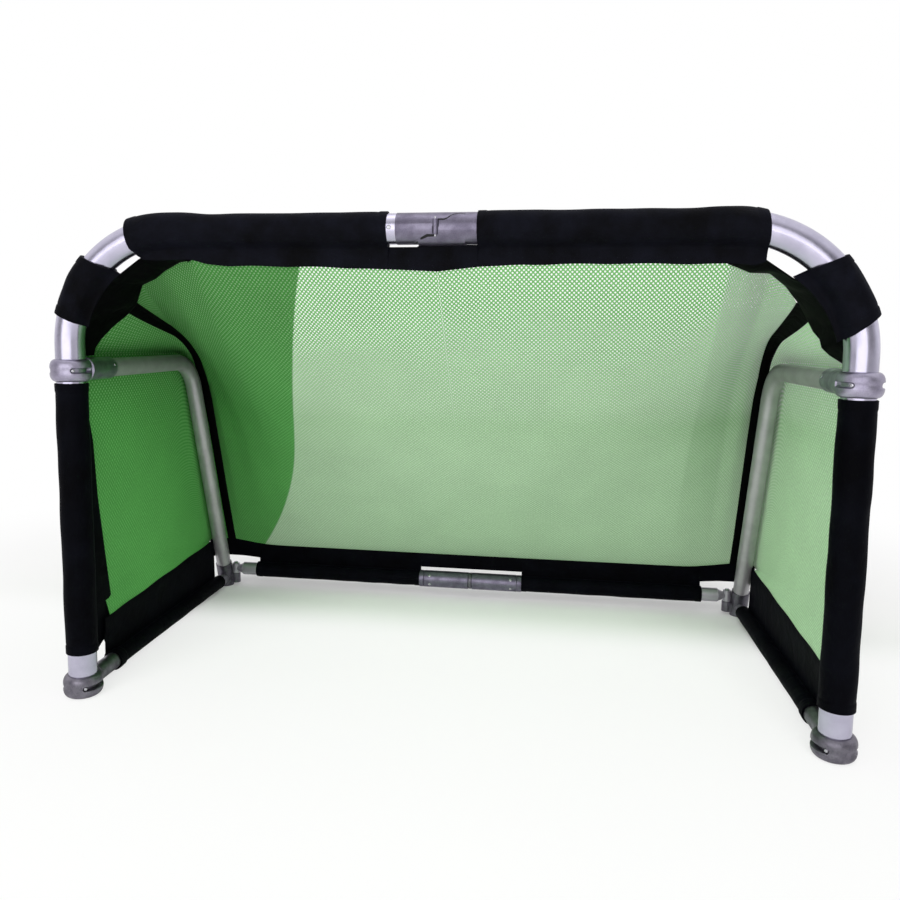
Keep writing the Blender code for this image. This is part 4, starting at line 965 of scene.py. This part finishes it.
def shareOfTurn(line):
    # share of the line's length where its direction is half way round
    heading = unit(np.gradient(line, axis=0))
    middle = unit(heading[0] + heading[-1])
    return np.argmax(heading @ middle) / (len(line) - 1)


def binding(label):
    # tape folded over the seam: one flank lies on the back net, straight across the goal, the other
    # runs down on the side net, wider towards the front end; the section is a flat oval over both
    u = np.linspace(0, 1, 160)[:, None]
    seam, hip = seamAndHip(u[:, 0], label)
    hip[:, 0] = post + netShape["outside"]
    inner, thick = netShape["tape"]
    edge = seam + [inner - netShape["lap"], 0, 0]
    down = unit(hip - edge)
    wide, narrow = netShape["flank"][label]
    flank = (narrow + (wide - narrow) * (1 - smooth(u, 0.0, 0.5)))[..., None]
    turn = fullTurn(36)
    t = np.sin(turn)[None, :, None]
    ahead = unit(np.gradient(seam, axis=0))
    flat, steep = unit(np.cross([1.0, 0, 0], ahead)), unit(np.cross(down, ahead))
    share = smooth(t, -0.1, 0.3)
    lift = unit(flat[:, None] * (1 - share) + steep[:, None] * share)
    along = np.minimum(t, 0) * inner * np.array([1.0, 0, 0]) + np.clip(t / 0.3, 0, 1) * (edge - seam)[:, None]
    along = along + np.maximum(t - 0.3, 0) / 0.7 * flank * down[:, None]
    return patch(seam[:, None] + along + lift * thick * np.cos(turn)[None, :, None], caps=True)


# the gusset's front edge where it passes the cuff, the same on both sides
cuffEdge = [(0.5545, 0.010, 0.6620), (0.580, 0.0240, 0.632), (0.592, 0.0252, 0.600), (0.600, 0.0247, 0.5715)]
gusset = {
    # front edge along flap, window and cuff, and rear edge along both nets
    "left": {
        "front": [(0.385, 0, 0.7270), (0.43, 0, 0.7275), (0.474, 0, 0.7283), (0.5071, 0, 0.7050),
                  (0.5297, 0.001, 0.6923), *cuffEdge],
        "rear": [(0.390, 0.0012, 0.7256), (0.417, 0.020, 0.7245), (0.4527, 0.042, 0.7135),
                 (0.487, 0.072, 0.7015), (0.520, 0.090, 0.6925), (0.5450, 0.114, 0.6600),
                 (0.567, 0.127, 0.6450), (0.583, 0.103, 0.6228), (0.592, 0.078, 0.6005),
                 (0.600, 0.0720, 0.585), (0.600, 0.0672, 0.5725)],
    },
    "right": {
        "front": [(0.412, 0, 0.7190), (0.44, 0, 0.7195), (0.4633, 0, 0.7245), (0.5034, 0, 0.6970),
                  (0.5297, 0.001, 0.6880), *cuffEdge],
        "rear": [(0.418, 0.0012, 0.7171), (0.4547, 0.040, 0.7085), (0.4925, 0.080, 0.7105),
                 (0.5189, 0.092, 0.6925), (0.5475, 0.112, 0.6640), (0.566, 0.134, 0.6425),
                 (0.574, 0.128, 0.6240), (0.575, 0.099, 0.6124), (0.575, 0.0875, 0.5998),
                 (0.590, 0.098, 0.5890), (0.600, 0.0709, 0.5775)],
    },
}


def gussetSheet(label):
    # ruled from the front edge to the rear edge, with folds that run between them
    front, rear = (evenly(gusset[label][k], 90)[:, None] for k in ("front", "rear"))
    across = np.linspace(0, 1, 24)[None, :, None]
    grid = front + (rear - front) * across
    along = np.linspace(0, 1, 90)[:, None]
    belly = np.sin(across[..., 0] * math.pi) * np.sin(along * math.pi)
    grid[..., 2] -= 0.004 * belly * (1 + 0.6 * np.sin(along * 31 + 3 * across[..., 0]))
    grid[..., 0] -= 0.002 * belly * np.sin(along * 23 + 1)
    return patch(grid, loopColumns=False)


for label, side in sides.items():
    piece = addPiece("back_net_" + label, side, [patch(backNet(label), loopColumns=False)], "net",
                     "front_" + label, 180)
    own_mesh(piece)
    piece = addPiece("side_net_" + label, side, [patch(sideNet(label), loopColumns=False)], "sideNet",
                     "side_" + label, 180)
    piece = addPiece("net_seam_" + label, side, [binding(label)], "tape", "side_" + label)
    piece = buildPiece("corner_gusset_%s_look" % label, side, [gussetSheet(label)])
    solid = piece.modifiers.new("cloth", "SOLIDIFY")
    solid.thickness, solid.offset, solid.use_even_offset = 0.0016, 0.0, True
    piece.data.materials.append(finish["tape"])
    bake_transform(piece)
print("net done")

studio = {
    "sky": 0.38, "room": 0.22, "floorWhite": (0.12, 0.72),
    "sun": 1.7, "sunAngle": 45.0, "sunTurn": (44, -6, 0), "sunColour": (1.0, 0.99, 0.98),
    # soft boxes in front of the goal and above it: place, size, power in watts
    "boxes": (((-0.35, -2.9, 1.15), (3.9, 1.9), 40.0), ((0.0, -0.2, 2.6), (2.4, 1.2), 9.0)),
    "aim": (0.0, 0.0, 0.42),  # where they point
}

floorMesh = bpy.data.meshes.new("floor")
corners = ((-40, -40), (40, -40), (40, 60), (-40, 60))
floorMesh.from_pydata([(*corner, -0.0002) for corner in corners], [], [(0, 1, 2, 3)])
floor = addObject("floor", floorMesh)
paper, tree, shader = newMaterial("white_paper_floor", {"Roughness": 0.9, "Specular IOR Level": 0.1})
grain = addNode(tree, "TexNoise", {"Scale": 3.0, "Detail": 2.0},
                {"Vector": addNode(tree, "TexCoord").outputs["Object"]})
tone = addNode(tree, "Mix", {6: linear("#f9f9f9"), 7: linear("#fdfdfd")}, {0: grain}, data_type="RGBA")
connect(tree, shader, {"Base Color": tone})
# The camera sees a share of plain white in it, less of it under the rear bar, and plain white alone
# further off, so that the paper reads as white with a soft shadow round the goal.
spot = addNode(tree, "TexCoord").outputs["Object"]
depth = addNode(tree, "SeparateXYZ", links={"Vector": spot})
near = addNode(tree, "MapRange", {"From Min": 0.24, "From Max": 0.04, "To Min": studio["floorWhite"][0],
                                  "To Max": studio["floorWhite"][1]},
               {"Value": depth.outputs["Y"]}, interpolation_type="SMOOTHSTEP")
reach = addNode(tree, "VectorMath", links={0: spot}, operation="LENGTH")
away = addNode(tree, "MapRange", {"From Min": 0.75, "From Max": 1.9}, {"Value": reach, "To Min": near},
               interpolation_type="SMOOTHSTEP")
seenBy = addNode(tree, "LightPath")
share = addNode(tree, "Math", links={0: seenBy.outputs["Is Camera Ray"], 1: away}, operation="MULTIPLY")
white = addNode(tree, "Emission", {"Color": (1, 1, 1, 1), "Strength": 1.0})
mixed = addNode(tree, "MixShader", links={0: share, 1: shader, 2: white})
connect(tree, tree.nodes["Material Output"], {"Surface": mixed})
floorMesh.materials.append(paper)

world = bpy.context.scene.world or bpy.data.worlds.new("studio")
bpy.context.scene.world = world
world.use_nodes = True
tree = world.node_tree
tree.nodes.clear()
# The camera sees plain white. Metal sees white behind and above the goal, and a dimmer room in front.
path = addNode(tree, "LightPath")
toward = addNode(tree, "SeparateXYZ", links={"Vector": addNode(tree, "TexCoord").outputs["Generated"]})
turned = addNode(tree, "Math", {1: 0.7}, {0: toward.outputs["Z"], 2: toward.outputs["Y"]},
                 operation="MULTIPLY_ADD")
room = addNode(tree, "MapRange", {"From Min": -0.7, "From Max": 0.3, "To Min": studio["room"], "To Max": 1.0},
               {"Value": turned}, interpolation_type="SMOOTHSTEP")
shown = addNode(tree, "Math", {}, {0: path.outputs["Is Glossy Ray"],
                                   1: path.outputs["Is Transmission Ray"]}, operation="MAXIMUM")
seen = addNode(tree, "Mix", {2: studio["sky"]}, {0: shown, 3: room})
strength = addNode(tree, "Mix", {3: 1.0}, {0: path.outputs["Is Camera Ray"], 2: seen})
light = addNode(tree, "Background", {"Color": (1, 1, 1, 1)}, {"Strength": strength})
connect(tree, addNode(tree, "OutputWorld"), {"Surface": light})

sunData = bpy.data.lights.new("key", "SUN")
sunData.energy, sunData.angle = studio["sun"], math.radians(studio["sunAngle"])
sunData.color = studio["sunColour"]
sun = addObject("key", sunData)
sun.rotation_euler = [math.radians(angle) for angle in studio["sunTurn"]]
sun.visible_glossy = False  # metal shows the room and the soft boxes, not the key light
for count, (place, size, power) in enumerate(studio["boxes"]):
    boxData = bpy.data.lights.new("soft_box_%d" % count, "AREA")
    boxData.shape, boxData.size, boxData.size_y, boxData.energy = "RECTANGLE", *size, power
    box = addObject("soft_box_%d" % count, boxData)
    box.location = place
    box.rotation_euler = (Vector(studio["aim"]) - Vector(place)).to_track_quat("-Z", "Y").to_euler()

view = {
    "focal": 796.0, "centre": (-22.3, -25.9), "across": 900, "sensor": 36.0,  # in pixels, sensor in mm
    "place": (0.1703, -1.4973, 0.6143), "yaw": -8.665, "pitch": -6.45, "roll": 0.59,
}
yaw, pitch, roll = (math.radians(view[k]) for k in ("yaw", "pitch", "roll"))
forward = np.array([math.sin(yaw) * math.cos(pitch), math.cos(yaw) * math.cos(pitch), math.sin(pitch)])
right = np.array([math.cos(yaw), -math.sin(yaw), 0.0])
up = np.cross(right, forward)
right, up = right * math.cos(roll) + up * math.sin(roll), up * math.cos(roll) - right * math.sin(roll)
lens = bpy.data.cameras.new("camera")
lens.sensor_width, lens.lens = view["sensor"], view["focal"] / view["across"] * view["sensor"]
lens.shift_x, lens.shift_y = -view["centre"][0] / view["across"], view["centre"][1] / view["across"]
lens.clip_end = 200
camera = addObject("camera", lens)
columns = np.column_stack([right, up, -forward, view["place"]])
camera.matrix_world = Matrix([*columns.tolist(), [0, 0, 0, 1]])
bpy.context.scene.camera = camera
bpy.context.scene.view_settings.view_transform = "Standard"

print("scene ready")
